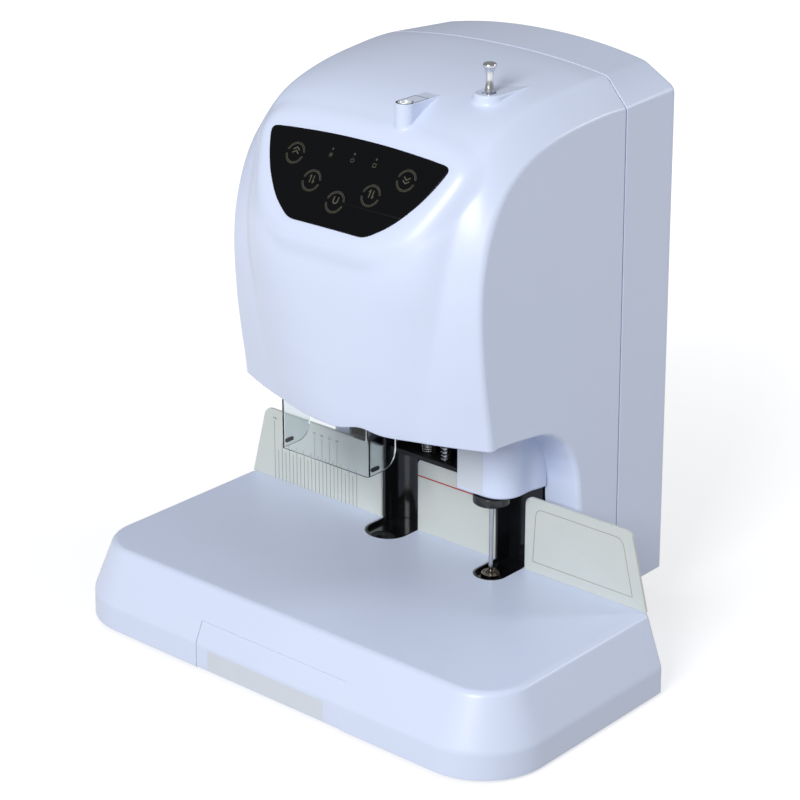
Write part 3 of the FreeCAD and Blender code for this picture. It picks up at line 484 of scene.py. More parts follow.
def place_piece(obj, mat, body, nodes=(), slot=None):
    obj.data.materials.clear()
    obj.data.materials.append(MAT[mat])
    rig.ride(obj, body)
    if nodes:
        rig.replaces(obj, *nodes)
        slot = slot or NODE_SLOT.get(nodes[0])
    if slot:
        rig.slot(obj, slot)
    return obj


def from_bm(name, bm, mat, body="base", nodes=(), slot=None, angle=32.0, orient=False, weighted=True):
    if orient:
        bmesh.ops.recalc_face_normals(bm, faces=bm.faces[:])
    me = bpy.data.meshes.new(name)
    bm.to_mesh(me)
    bm.free()
    obj = bpy.data.objects.new(name, me)
    SCENE.collection.objects.link(obj)
    finish_mesh(obj, angle, weighted)
    return place_piece(obj, mat, body, nodes, slot)


def lathe(name, prof, cx, cy, mat, body="base", nodes=(), n=96, angle=32.0, axis="z", slot=None):
    """Turned piece: prof is a list of (radius, height) from the lowest point on the axis or bore round to the last."""
    sh = Shell()
    rows = []
    for r, z in prof:
        row = []
        for k in range(n):
            a = 2 * math.pi * k / n
            if axis == "z":
                row.append((cx + r * math.cos(a), cy + r * math.sin(a), z))
            else:
                row.append((cx + r * math.cos(a), z, cy + r * math.sin(a)))
        rows.append(row)
    sh.rows(rows, close=True)
    bm = sh.bm(0.002)
    bmesh.ops.holes_fill(bm, edges=[e for e in bm.edges if e.is_boundary], sides=0)
    return from_bm(name, bm, mat, body, nodes, slot, angle, orient=True)


def arc2(cx, cy, r, a0, a1, n):
    return [(cx + r * math.cos(math.radians(a0 + (a1 - a0) * k / n)), cy + r * math.sin(math.radians(a0 + (a1 - a0) * k / n)))
            for k in range(n + 1)]


def fillet_path(pts, radii, n=8, closed=False):
    """2-D polyline with its corners rounded."""
    out = []
    m_ = len(pts)
    for i, p in enumerate(pts):
        r = radii[i] if hasattr(radii, "__len__") else radii
        if (not closed and i in (0, m_ - 1)) or r <= 0:
            out.append(tuple(p))
            continue
        a, b, c = np.array(pts[i - 1], float), np.array(p, float), np.array(pts[(i + 1) % m_], float)
        u, w = (a - b) / np.linalg.norm(a - b), (c - b) / np.linalg.norm(c - b)
        cosv = float(np.clip(u @ w, -1, 1))
        half = math.acos(cosv) / 2
        t = min(r / math.tan(half), 0.49 * np.linalg.norm(a - b), 0.49 * np.linalg.norm(c - b))
        rr = t * math.tan(half)
        centre = b + (u + w) / np.linalg.norm(u + w) * (rr / math.sin(half))
        p0, p1 = b + u * t, b + w * t
        a0 = math.atan2(*(p0 - centre)[::-1])
        a1 = math.atan2(*(p1 - centre)[::-1])
        d = (a1 - a0 + math.pi) % (2 * math.pi) - math.pi
        for k in range(n + 1):
            ang = a0 + d * k / n
            out.append(tuple(centre + rr * np.array([math.cos(ang), math.sin(ang)])))
    return out


def offset_loop(pts, d):
    """Closed 2-D loop (counter-clockwise) moved outward by d."""
    p = np.asarray(pts, float)
    t = np.roll(p, -1, 0) - np.roll(p, 1, 0)
    t /= np.linalg.norm(t, axis=1)[:, None]
    return p + d * np.stack([t[:, 1], -t[:, 0]], 1)


def slab(name, loop, lo, hi, plane, mat, body="base", nodes=(), bevel=0.3, holes=(), slot=None, seg=3, angle=32.0):
    """Sheet with an outline in a plane, from lo to hi on the third axis, its outline's edges rounded.
    plane(u, v, w) gives the point in millimetres.  Loops run counter-clockwise."""
    sh = Shell()
    area = sum(a[0] * b[1] - b[0] * a[1] for a, b in zip(loop, list(loop[1:]) + [loop[0]]))
    if area < 0:
        loop = list(loop)[::-1]
    rows = []
    steps = [(bevel * (1 - math.sin(math.pi / 2 * k / seg)), lo + bevel * (1 - math.cos(math.pi / 2 * k / seg))) for k in range(seg + 1)]
    steps += [(bevel * (1 - math.cos(math.pi / 2 * k / seg)), hi - bevel * (1 - math.sin(math.pi / 2 * k / seg))) for k in range(seg + 1)]
    for ins, w in steps:
        rows.append([plane(u, v, w) for u, v in offset_loop(loop, -ins)])
    sh.rows(rows, close=True)
    hole_rows = []
    for h in holes:
        a = sum(p[0] * q[1] - q[0] * p[1] for p, q in zip(h, list(h[1:]) + [h[0]]))
        h = list(h)[::-1] if a < 0 else list(h)
        hr = [[plane(u, v, w) for u, v in offset_loop(h, ins)] for ins, w in steps]
        sh.rows(hr, close=True, flip=True)
        hole_rows.append(hr)
    c = np.asarray(plane(0, 0, 1), float) - np.asarray(plane(0, 0, 0), float)
    sh.poly([rows[0]] + [h[0] for h in hole_rows], -c)
    sh.poly([rows[-1]] + [h[-1] for h in hole_rows], c)
    return from_bm(name, sh.bm(0.002), mat, body, nodes, slot, angle, orient=True)


def XZ(u, v, w):
    return (u, w, v)


def XY(u, v, w):
    return (u, v, w)


def YZ(u, v, w):
    return (w, u, v)


def smoothstep(t):
    t = np.clip(t, 0, 1)
    return t * t * (3 - 2 * t)


# ------------------------------------------------------------------ hood
SEAM = 276.6            # end of the front cover
REAR0, REAR1 = 277.4, 343.0
HOOD_Z, CY = 205.0, 277.0
FOOT_Z = 32.0

A_EDGE = [(118.5, 206.0), (118, 212.5), (115.5, 230), (110.8, 258), (107.4, 290.5), (105.8, 317.5), (107, 343.5), (113, 368.5),
          (121, 388), (132.5, 405), (150, 418), (169, 427.5), (197, 434.3), (231, 438.3), (277, 440)]
B_EDGE = [(68, 95, 205), (78, 94.4, 235), (87, 94.1, 265), (94, 94.1, 297), (100, 95.4, 334), (103, 100.4, 365), (105, 107.6, 385),
          (106.5, 119, 411), (107.3, 130, 430), (106.8, 148, 443), (106.9, 185, 454.2), (108.2, 230, 460.0), (109.7, 277, 462.5)]
C_LINE = [(79.5, 205), (76.5, 240), (74.5, 275), (73.2, 310), (72.8, 345), (75, 367), (89.2, 387), (103.4, 407), (112.6, 420),
          (120, 429.5), (132, 440.4), (148, 449.6), (170, 457.8), (200, 464.3), (238, 469.2), (277, 471.0)]


def polar(y, z):
    return math.degrees(math.atan2(z - HOOD_Z, CY - y)), math.hypot(z - HOOD_Z, CY - y)


def smooth_table(rows, sigma):
    """Value against angle through the rows, smoothed along the angle."""
    t = np.array([r[0] for r in rows], float)
    v = np.array([r[1] for r in rows], float)
    step = 0.25
    g = np.arange(-20, 110.01, step)
    y = np.interp(g, t, v)
    lo = g < t[0]
    y[lo] = v[0] + (g[lo] - t[0]) * (v[1] - v[0]) / max(t[1] - t[0], 2.0)
    hi = g > t[-1]
    y[hi] = v[-1] + (g[hi] - t[-1]) * (v[-1] - v[-2]) / (t[-1] - t[-2])
    k = np.arange(-int(4 * sigma / step), int(4 * sigma / step) + 1) * step
    w = np.exp(-0.5 * (k / sigma) ** 2)
    w /= w.sum()
    y = np.convolve(np.pad(y, len(k) // 2, mode="edge"), w, "valid")
    return lambda q: np.interp(q, g, y)


RA = smooth_table([polar(y, z) for y, z in A_EDGE], 2.6)
RB = smooth_table([polar(y, z) for x, y, z in B_EDGE], 2.6)
XB = smooth_table([(polar(y, z)[0], x) for x, y, z in B_EDGE], 2.6)
RC = smooth_table([polar(y, z) for y, z in C_LINE], 2.4)
FIL_A = smooth_table([(0, 6), (20, 6.5), (40, 7), (52, 8), (62, 7.0), (72, 6.0), (90, 5.0)], 3.0)
SIG_B = smooth_table([(0, 3.2), (20, 2.8), (50, 2.6), (74, 2.6), (84, 2.2), (90, 2.0)], 3.0)
POW = smooth_table([(0, 1.7), (12, 2.1), (25, 2.9), (34, 5.0), (44, 6.6), (55, 6.6), (63, 4.8), (72, 3.8), (80, 3.0), (90, 2.15)], 3.0)
SIDE_K = 1.0 / 78.0


def half_width(z, y=277.0):
    """Half width of the tower: wider towards the foot, drafted from the seam forward."""
    return 129.2 + (440.0 - z) * SIDE_K - 0.02 * np.maximum(277.0 - y, 0.0)


FACE_U = np.concatenate([np.linspace(0, 0.8, 44), 1 - 0.2 * np.linspace(1, 0, 19)[1:] ** 1.5])
SH_U = np.linspace(0, 1, 21)[1:] ** 1.4


def section(theta, inset=0.0, fil=None, rear=0.0):
    """Right half of a section at an angle: rows of (x, r) from the middle to the side wall.

    rear runs from 0 at the seam to 1 at the back: the ridges draw together and the bevel gets flatter."""
    s = math.sin(math.radians(theta))
    rc, rb, xb, ra = float(RC(theta)), float(RB(theta)), float(XB(theta)), float(RA(theta))
    rc, rb, xb, ra = rc + 0.3 * rear, rb - 1.3 * rear, xb - 10.0 * rear, ra + 4.6 * rear
    p = float(POW(theta))
    xa = half_width(HOOD_Z + ra * s, CY - ra * math.cos(math.radians(theta)))
    mf = -p * (rc - rb) / xb
    ms = (ra - rb) / (xa - xb)
    if inset:
        cf, cs = math.hypot(1, mf), math.hypot(1, ms)
        d = inset * (cf - cs) / (mf - ms)
        rb2 = rb + mf * d - inset * cf
        ra2 = ra - inset * cs + ms * (-inset)
        xb, rb, rc, xa, ra = xb + d, rb2, rc - inset, xa - inset, ra2
        ms = (ra - rb) / (xa - xb)
    g = np.arange(0, 200.01, 0.5)
    face_ = rc - (rc - rb) * (np.minimum(g, xb) / xb) ** p
    bulge = 1.2 * np.sin(np.pi * np.clip((g - xb) / (xa - xb), 0, 1)) * min(1.0, max(0.0, (86 - theta) / 40.0))
    line = rb + ms * (g - xb) + bulge
    y = np.where(g < xb, face_, line)
    full = np.concatenate([y[:0:-1], y])
    sig = float(SIG_B(theta)) / 0.5
    k = np.arange(-int(4 * sig), int(4 * sig) + 1)
    w = np.exp(-0.5 * (k / sig) ** 2)
    w /= w.sum()
    sm = np.convolve(np.pad(full, len(k) // 2, mode="edge"), w, "valid")[len(y) - 1:]
    f = lambda q: np.interp(q, g, sm)
    r_f = float(FIL_A(theta)) if fil is None else fil
    r_f = max(r_f - inset, 0.6)
    ra = float(f(xa))
    slope = float(f(xa - 0.5) - f(xa - 1.5))
    turn = math.atan2(1.0, -slope)
    t = r_f * math.tan(turn / 2)
    for _ in range(2):
        xt = xa - t * math.sin(turn)
        slope = float(f(xt + 0.5) - f(xt - 0.5))
        rt = float(f(xt))
        ra = rt + slope * (xa - xt)
        turn = math.atan2(1.0, -slope)
        t = r_f * math.tan(turn / 2)
    xt = xa - t * math.sin(turn)
    rt = ra + t * math.cos(turn)
    xs = np.concatenate([FACE_U * xb, xb + SH_U * (xt - xb)])
    pts = [(x, float(f(x))) for x in xs[:-1]] + [(xt, rt)]
    cx, cr = xa - r_f, ra - t
    n = 10
    for k2 in range(1, n + 1):
        al = turn * (1 - k2 / n)
        pts.append((cx + r_f * math.cos(al), cr + r_f * math.sin(al)))
    pts.append((xa, cr - 1.2))
    return pts


def fan(x, r, theta):
    t = math.radians(theta)
    return (x, CY - r * math.cos(t), HOOD_Z + r * math.sin(t))


PO = np.array([0, 75.0, 367.0])
PV = np.array([0, 0.5789, 0.8154])
PN = np.array([0, -0.8154, 0.5789])
PANEL = [(0, 0.0), (20, 0.0), (34, 0.0), (38.5, 0.8), (43, 2.9), (48, 6.2), (54, 10.6), (59.6, 15.6), (65.2, 21.7), (70, 27.7),
         (74.6, 34.0), (79, 41.2), (82.6, 47.9), (86, 55.3), (88.4, 61.6), (88.9, 65.0), (87.4, 67.5), (84, 68.8), (77, 69.5), (70, 70.2),
         (58, 71.0), (44, 71.9), (30, 72.5), (15, 72.9)]


def catmull(pts, n):
    """Closed smooth loop through the points."""
    p = np.asarray(pts, float)
    out = []
    for i in range(len(p)):
        p0, p1, p2, p3 = p[i - 1], p[i], p[(i + 1) % len(p)], p[(i + 2) % len(p)]
        d1, d2, d3 = (np.linalg.norm(b - a) ** 0.5 for a, b in ((p0, p1), (p1, p2), (p2, p3)))
        t0, t1 = 0.0, d1
        t2 = t1 + d2
        t3 = t2 + d3
        for k in range(n):
            t = t1 + (t2 - t1) * k / n
            a1 = (t1 - t) / (t1 - t0) * p0 + (t - t0) / (t1 - t0) * p1
            a2 = (t2 - t) / (t2 - t1) * p1 + (t - t1) / (t2 - t1) * p2
            a3 = (t3 - t) / (t3 - t2) * p2 + (t - t2) / (t3 - t2) * p3
            b1 = (t2 - t) / (t2 - t0) * a1 + (t - t0) / (t2 - t0) * a2
            b2 = (t3 - t) / (t3 - t1) * a2 + (t - t1) / (t3 - t1) * a3
            out.append((t2 - t) / (t2 - t1) * b1 + (t - t1) / (t2 - t1) * b2)
    return [tuple(q) for q in out]


PANEL_LOOP = catmull(PANEL + [(-u, v) for u, v in reversed(PANEL) if u > 0], 8)


def loop_distance(q, loop):
    """Signed distance of 2-D points to a closed loop, negative inside."""
    p = np.asarray(loop, float)
    a, b = p, np.roll(p, -1, 0)
    d = np.full(len(q), 1e9)
    inside = np.zeros(len(q), bool)
    for (x0, y0), (x1, y1) in zip(a, b):
        e = np.array([x1 - x0, y1 - y0])
        w = q - np.array([x0, y0])
        t = np.clip((w @ e) / (e @ e), 0, 1)
        d = np.minimum(d, np.linalg.norm(w - t[:, None] * e, axis=1))
        c = ((y0 > q[:, 1]) != (y1 > q[:, 1]))
        with np.errstate(divide="ignore", invalid="ignore"):
            xx = x0 + (q[:, 1] - y0) * (x1 - x0) / (y1 - y0 if y1 != y0 else 1e-9)
        inside ^= c & (q[:, 0] < xx)
    return np.where(inside, -d, d)


BED_REACH = 22.0


def dish(pts):
    """Flattens the skin under the panel and lets it run out softly round it."""
    p = np.asarray(pts, float)
    rel = p - PO
    u, v, n = p[:, 0], rel @ PV, rel @ PN
    near = (np.abs(n) < 40) & (v > -40) & (v < 110) & (np.abs(u) < 125)
    if near.any():
        q = np.stack([u[near], v[near]], 1)
        d = loop_distance(q, PANEL_LOOP)
        w = 1 - smoothstep((d - 2.5) / BED_REACH)
        nn = n[near]
        target = -1.2
        p[near] += ((target - nn) * w)[:, None] * PN
    return p


def bottom_z(x):
    """Lower edge of the hood's front: a little higher right of the middle."""
    return HOOD_Z + 4.5 * np.exp(-((np.asarray(x, float) - 27.0) / 13.0) ** 2)


RIM = 1.6
ARCH = [(121, 206.0), (138, 205.5), (152, 204.4), (164, 203), (177, 201.4), (187, 198.4), (197, 193), (209, 183), (219, 167.5), (225, 149),
        (227, 120), (227, 90), (227, 60), (227, FOOT_Z)]


def arch_curve():
    p = np.array(ARCH, float)
    s = np.concatenate([[0], np.cumsum(np.linalg.norm(np.diff(p, axis=0), axis=1))])
    g = np.arange(0, s[-1] + 0.01, 0.5)
    y = np.interp(g, s, p[:, 0])
    z = np.interp(g, s, p[:, 1])

    def sm(a, sig):
        k = np.arange(-int(4 * sig), int(4 * sig) + 1)
        w = np.exp(-0.5 * (k / sig) ** 2)
        w /= w.sum()
        lo = 2 * a[0] - a[len(k) // 2:0:-1]
        hi = 2 * a[-1] - a[-2:-2 - len(k) // 2:-1]
        return np.convolve(np.concatenate([lo, a, hi]), w, "valid")

    return sm(y, 10.0), sm(z, 10.0), g


AY, AZ_, AS = arch_curve()


def rim_radius(s):
    """Rounding of the cheek's edge grows from the hood's front to the upright part."""
    return RIM + (4.6 - RIM) * smoothstep((s - 40.0) / 60.0)


def build_front_cover():
    sh = Shell()
    ncol = len(section(0.0))
    # each column starts at the lower edge's height and ends at the seam plane
    grid_t = np.linspace(0, 1, 165)
    fine = np.linspace(-2, 90, 369)
    table = np.array([section(t) for t in fine])          # (k, col, 2)
    half = []
    for j in range(ncol):
        xs, rs = table[:, j, 0], table[:, j, 1]
        z = HOOD_Z + rs * np.sin(np.radians(fine))
        y = CY - rs * np.cos(np.radians(fine))
        half.append((xs, y, z, rs))
    right, left = [], []
    for side in (1, -1):
        cols = []
        for j in range(ncol):
            xs, y, z, rs = half[j]
            zb = bottom_z(side * xs[8]) + RIM
            t0 = np.interp(zb, z, fine)
            # last angle: where the column reaches the seam plane
            t1 = np.interp(SEAM - 1.0, y, fine)
            tt = t0 + (t1 - t0) * grid_t
            x_, r_ = np.interp(tt, fine, xs), np.interp(tt, fine, rs)
            cols.append(np.stack([side * x_, CY - r_ * np.cos(np.radians(tt)), HOOD_Z + r_ * np.sin(np.radians(tt))], 1))
        (right if side == 1 else left).append(np.array(cols))
    R, L_ = right[0], left[0]
    cols = np.concatenate([L_[:0:-1], R], 0)               # left side wall ... middle ... right side wall
    nc, nr = cols.shape[0], cols.shape[1]
    flat = dish(cols.reshape(-1, 3)).reshape(nc, nr, 3)
    rows = [flat[:, i] for i in range(nr)]
    sh.rows(rows)
    hood_rows = rows
    # rim of the hood's lower front edge: from the first row down, round and inward
    first = rows[0]
    nxt = rows[1]
    down = first - nxt
    down /= np.linalg.norm(down, axis=1)[:, None]
    tang = np.gradient(first, axis=0)
    tang /= np.linalg.norm(tang, axis=1)[:, None]
    nrm = np.cross(tang, down)
    mid = nc // 2
    if nrm[mid] @ np.array([0, -1, 0]) < 0:
        nrm = -nrm
    return sh, hood_rows, first, down, nrm


def strip(sh, start, D, N, radius, width, n=6, flip=False):
    """Rounded edge: from the row start, turning from direction D to -N with a radius, then on to a width."""
    start, D, N = (np.asarray(a, float) for a in (start, D, N))
    r = np.broadcast_to(np.asarray(radius, float), (len(start),))[:, None]
    w = np.broadcast_to(np.asarray(width, float), (len(start),))[:, None]
    rows = [start]
    for k in range(1, n + 1):
        a = math.pi / 2 * k / n
        rows.append(start + D * r * math.sin(a) - N * r * (1 - math.cos(a)))
    flat_ = start + D * r - N * w
    rows.append(rows[-1] + (flat_ - rows[-1]) * np.minimum(1.2 / np.maximum(np.linalg.norm(flat_ - rows[-1], axis=1), 1e-6), 0.5)[:, None])
    rows.append(flat_)
    sh.rows(rows, flip=flip)
    return rows


def front_cover():
    sh, hood, first, down, nrm = build_front_cover()
    nc = len(first)
    strip(sh, first, down, nrm, RIM, 3.2, n=12)
    for side in (-1, 1):
        col_a = 0 if side == -1 else nc - 1      # 1.2 mm down the side wall
        edge = [row[col_a] for row in hood]      # from the lower edge up to the seam
        # the cheek's lower and inner edge
        hw = half_width(AZ_, AY)
        y, z = AY, AZ_
        ty, tz = np.gradient(y), np.gradient(z)
        ln = np.hypot(ty, tz)
        # direction out of the material: down at the front, forward on the upright part
        dy, dz = tz / ln, -ty / ln
        rr = rim_radius(AS)
        width = 3.2 + (hw - (98.2 if side == 1 else 113.0) - 3.2) * smoothstep((AS - 20.0) / 40.0)
        D = np.stack([np.zeros_like(dy), dy, dz], 1)
        N = np.stack([np.full_like(dy, side), np.zeros_like(dy), np.zeros_like(dy)], 1)
        E = np.stack([side * hw, y, z], 1)
        S = E - D * rr[:, None]
        # join the strip's first point to the hood's lower corner
        corner = np.array(edge[0])
        sel = AY >= corner[1] + 1.0
        S, D2, N2, rr2, w2 = S[sel], D[sel], N[sel], rr[sel], width[sel]
        S = np.concatenate([[corner], S])
        D2 = np.concatenate([[down[col_a]], D2])
        N2 = np.concatenate([[nrm[col_a]], N2])
        rr2 = np.concatenate([[RIM], rr2])
        w2 = np.concatenate([[3.2], w2])
        strip(sh, S, D2, N2, rr2, w2, n=12)
        # seam edge of the side panel
        zs = np.linspace(edge[-1][2], FOOT_Z, 60)
        seam = np.array([(side * half_width(zz, SEAM - 1.0), SEAM - 1.0, zz) for zz in zs])
        seam[0] = edge[-1]
        seam[-1][2] = FOOT_Z
        loop = [tuple(p) for p in edge] + [tuple(p) for p in seam[1:]] + [tuple(p) for p in S[::-1][:-1]]
        sh.poly([loop], (side, 0, 0))
        if side == -1:
            seam_l = seam
        else:
            seam_r = seam
    # rounded rear edge along the seam
    top = hood[-1]
    path = np.concatenate([seam_l[::-1][:-1], top, seam_r[1:]])
    t = np.gradient(path, axis=0)
    t /= np.linalg.norm(t, axis=1)[:, None]
    D = np.tile([0.0, 1.0, 0.0], (len(path), 1))
    N = np.cross(t, D)
    mid = len(path) // 2
    if N[mid][2] < 0:
        N = -N
    strip(sh, path, D, N, 0.8, 3.0, n=4)
    return sh


def turn_outward(bm, point, direction):
    """Makes all normals agree, with the face nearest to a point looking along a direction."""
    bmesh.ops.recalc_face_normals(bm, faces=bm.faces[:])
    q = Vector(m(point))
    best = min(bm.faces, key=lambda f: (f.calc_center_median() - q).length)
    if best.normal.dot(Vector(direction)) < 0:
        bmesh.ops.reverse_faces(bm, faces=bm.faces[:])
    bm.normal_update()
    return bm


hood_shell = front_cover()
hood_bm = turn_outward(hood_shell.bm(0.01), (0, 74, 275), (0, -1, 0))
HOOD_TREE = BVHTree.FromBMesh(hood_bm)


def hood_top(x, y):
    hit = HOOD_TREE.ray_cast(Vector(m((x, y, 520))), Vector((0, 0, -1)))
    return hit[0].z * 1000 - SHIFT[2] if hit[0] is not None else 400.0


def boss(loop, z_top, r_top, r_foot, hole, z_hole, flat_holes=()):
    """Raised boss on the hood: flat top, rounded rim, walls that run into the skin with a small fillet."""
    sh = Shell()
    base = np.asarray(loop, float)
    surf = np.array([hood_top(x, y) for x, y in base])
    h = np.clip(z_top - surf, 0.0, None)
    rt = np.minimum(r_top, h * 0.45)[:, None]
    rf = np.minimum(r_foot, h * 0.5)[:, None]
    t = np.roll(base, -1, 0) - np.roll(base, 1, 0)
    t /= np.linalg.norm(t, axis=1)[:, None]
    nrm = np.stack([t[:, 1], -t[:, 0]], 1)
    rows = []
    seg = 5
    for k in range(seg + 1):
        a = math.pi / 2 * k / seg
        xy = base - nrm * rt * (1 - math.sin(a))
        z = z_top - rt[:, 0] * (1 - math.cos(a))
        rows.append(np.column_stack([xy, np.maximum(z, np.minimum(surf, z_top) - 0.02)]))
    for k in range(1, 5):
        f = k / 5
        z = (z_top - rt[:, 0]) * (1 - f) + (surf + rf[:, 0]) * f
        rows.append(np.column_stack([base, np.where(h > 0.02, z, surf)]))
    foot = []
    for k in range(0, seg + 1):
        a = math.pi / 2 * k / seg
        xy = base + nrm * rf * (1 - math.cos(a))
        s2 = np.array([hood_top(x, y) for x, y in xy])
        rows.append(np.column_stack([xy, s2 + rf[:, 0] * (1 - math.sin(a)) - 0.01]))
    xy = base + nrm * (rf + 0.25)
    s2 = np.array([hood_top(x, y) for x, y in xy])
    rows.append(np.column_stack([xy, s2 - 0.35]))
    sh.rows(rows, close=True)
    n = 72
    hx, hy, hr = hole
    ring0 = [(hx + (hr + 0.5) * math.cos(2 * math.pi * k / n), hy + (hr + 0.5) * math.sin(2 * math.pi * k / n), z_top) for k in range(n)]
    hrows = [ring0]
    for k in range(1, 5):
        a = math.pi / 2 * k / 4
        hrows.append([(hx + (hr + 0.5 * (1 - math.sin(a))) * math.cos(2 * math.pi * q / n),
                       hy + (hr + 0.5 * (1 - math.sin(a))) * math.sin(2 * math.pi * q / n), z_top - 0.5 * (1 - math.cos(a))) for q in range(n)])
    hrows.append([(hx + hr * math.cos(2 * math.pi * q / n), hy + hr * math.sin(2 * math.pi * q / n), z_hole) for q in range(n)])
    sh.rows(hrows, close=True)
    sh.poly([rows[0], ring0], (0, 0, 1))
    # closed underneath, inside the hood's wall
    last = rows[-1]
    under = np.column_stack([base - nrm * 0.6, np.minimum(surf, z_top) - 3.0])
    sh.rows([last, under], close=True)
    low = [(hx + hr * math.cos(2 * math.pi * q / n), hy + hr * math.sin(2 * math.pi * q / n), z_hole) for q in range(n)]
    # bridge the underside: outer ring to the bore's lower end
    c = np.array([hx, hy])
    ang_o = np.unwrap(np.arctan2(under[:, 1] - hy, under[:, 0] - hx))
    sel = [under[int(np.argmin(np.abs(((ang_o - 2 * math.pi * q / n) + math.pi) % (2 * math.pi) - math.pi)))] for q in range(n)]
    bm = sh.bm(0.003)
    return bm, under, low


def d_loop(cx, cy, r, back, n=40, rc=1.5):
    """Round in front, straight sides, square back."""
    pts = [(cx + r * math.cos(a), cy + r * math.sin(a)) for a in np.linspace(math.pi, 2 * math.pi, n)]
    pts += [(cx + r, y) for y in np.linspace(cy, back - rc, 24)[1:]]
    pts += [(cx + r - rc + rc * math.cos(a), back - rc + rc * math.sin(a)) for a in np.linspace(0, math.pi / 2, 6)[1:]]
    pts += [(x, back) for x in np.linspace(cx + r - rc, cx - r + rc, 12)[1:]]
    pts += [(cx - r + rc + rc * math.cos(a), back - rc + rc * math.sin(a)) for a in np.linspace(math.pi / 2, math.pi, 6)[1:]]
    pts += [(cx - r, y) for y in np.linspace(back - rc, cy, 24)[1:-1]]
    return pts


def add_boss(target, loop, z_top, r_top, r_foot, hole, z_hole):
    bm, under, low = boss(loop, z_top, r_top, r_foot, hole, z_hole)
    # the underside lies inside the wall; one flat cap joins the outer ring and the bore
    bm.verts.ensure_lookup_table()
    edges = [e for e in bm.edges if e.is_boundary]
    bmesh.ops.bridge_loops(bm, edges=edges)
    bmesh.ops.triangulate(bm, faces=[f for f in bm.faces if len(f.verts) > 4])
    bmesh.ops.recalc_face_normals(bm, faces=bm.faces[:])
    tmp = bpy.data.meshes.new("tmp")
    bm.to_mesh(tmp)
    bm.free()
    target.from_mesh(tmp)
    bpy.data.meshes.remove(tmp)


PULL_AT, INLET_AT = (74.0, 178.0), (29.0, 134.0)
thicken(hood_bm, 3.0)
# bores through the hood for the pull rod and the tube inlet are inside the bosses
add_boss(hood_bm, d_loop(PULL_AT[0], PULL_AT[1], 11.6, 232.0), 463.0, 1.4, 2.6, (*PULL_AT, 5.6), 452.0)
add_boss(hood_bm, d_loop(INLET_AT[0], INLET_AT[1], 7.7, 166.0), 456.6, 0.8, 1.6, (*INLET_AT, 5.1), 444.0)
front_obj = from_bm("front_cover_skin", hood_bm, "white", "base", ["front_cover"], angle=40.0)


# ------------------------------------------------------------------ rear cover
def rear_outline(inset, y=277.0):
    back = (y - 277.0) / (REAR1 - 277.0)
    sec = section(90.0, inset, fil=5.0 + 5.0 * back, rear=back)
    right = [(x, HOOD_Z + r) for x, r in sec]
    x_end, z_end = right[-1]
    zs = np.linspace(z_end, FOOT_Z, 70)[1:]
    right += [(half_width(z) - inset, z) for z in zs]
    left = [(-x, z) for x, z in right[:0:-1]]
    return np.array(left + right)


def rear_cover():
    sh = Shell()
    R = 5.0
    rows = []
    for k in range(0, 5):                              # rounded front edge at the seam
        a = math.pi / 2 * k / 4
        o = 0.8 * (1 - math.sin(a))
        y = REAR0 + 0.8 * (1 - math.cos(a))
        rows.append([(x, y, z) for x, z in rear_outline(o, y)])
    for y in np.linspace(REAR0 + 2.5, REAR1 - R, 22):
        rows.append([(x, y, z) for x, z in rear_outline(0.0, y)])
    for k in range(1, 9):
        a = math.pi / 2 * k / 8
        y = REAR1 - R * (1 - math.sin(a))
        rows.append([(x, y, z) for x, z in rear_outline(R * (1 - math.cos(a)), y)])
    sh.rows(rows)
    holes = []
    for i in range(8):                                 # vents with round ends
        x0 = -84 + 9 * i + 2
        h = [(x0 + 2 * math.cos(a), 108 + 2 * math.sin(a)) for a in np.linspace(0, math.pi, 9)]
        h += [(x0 + 2 * math.cos(a), 62 + 2 * math.sin(a)) for a in np.linspace(math.pi, 2 * math.pi, 9)]
        holes.append(h)
    for x, z in ((-112, 60), (112, 60), (-112, 250), (112, 250), (-98, 430), (98, 430)):
        holes.append([(x + 4.2 * math.cos(a), z + 4.2 * math.sin(a)) for a in np.linspace(0, 2 * math.pi, 33)[:-1]])
    holes.append(fillet_path([(64, 65), (92, 65), (92, 85), (64, 85)], 1.0, 3, True))
    holes.append(fillet_path([(28.4, 68.4), (47.6, 68.4), (47.6, 81.6), (28.4, 81.6)], 0.8, 3, True))
    holes.append([(8 + 6.2 * math.cos(a), 75 + 6.2 * math.sin(a)) for a in np.linspace(0, 2 * math.pi, 33)[:-1]])
    loops3 = [[(x, REAR1, z) for x, z in offset_loop(ccw(h), 0.5)] for h in holes]
    for h in holes:
        h = ccw(h)
        rr = []
        for k in range(5):
            a = math.pi / 2 * k / 4
            rr.append([(x, REAR1 - 0.5 * (1 - math.cos(a)), z) for x, z in offset_loop(h, 0.5 * (1 - math.sin(a)))])
        sh.rows(rr, close=True)
    sh.poly([rows[-1]] + loops3, (0, 1, 0))
    bm = turn_outward(sh.bm(0.008), (0, REAR1, 300), (0, 1, 0))
    thicken(bm, 3.0)
    return bm


def ccw(lp):
    a = sum(p[0] * q[1] - q[0] * p[1] for p, q in zip(lp, list(lp[1:]) + [lp[0]]))
    return list(lp) if a > 0 else list(lp)[::-1]


rear_bm = rear_cover()
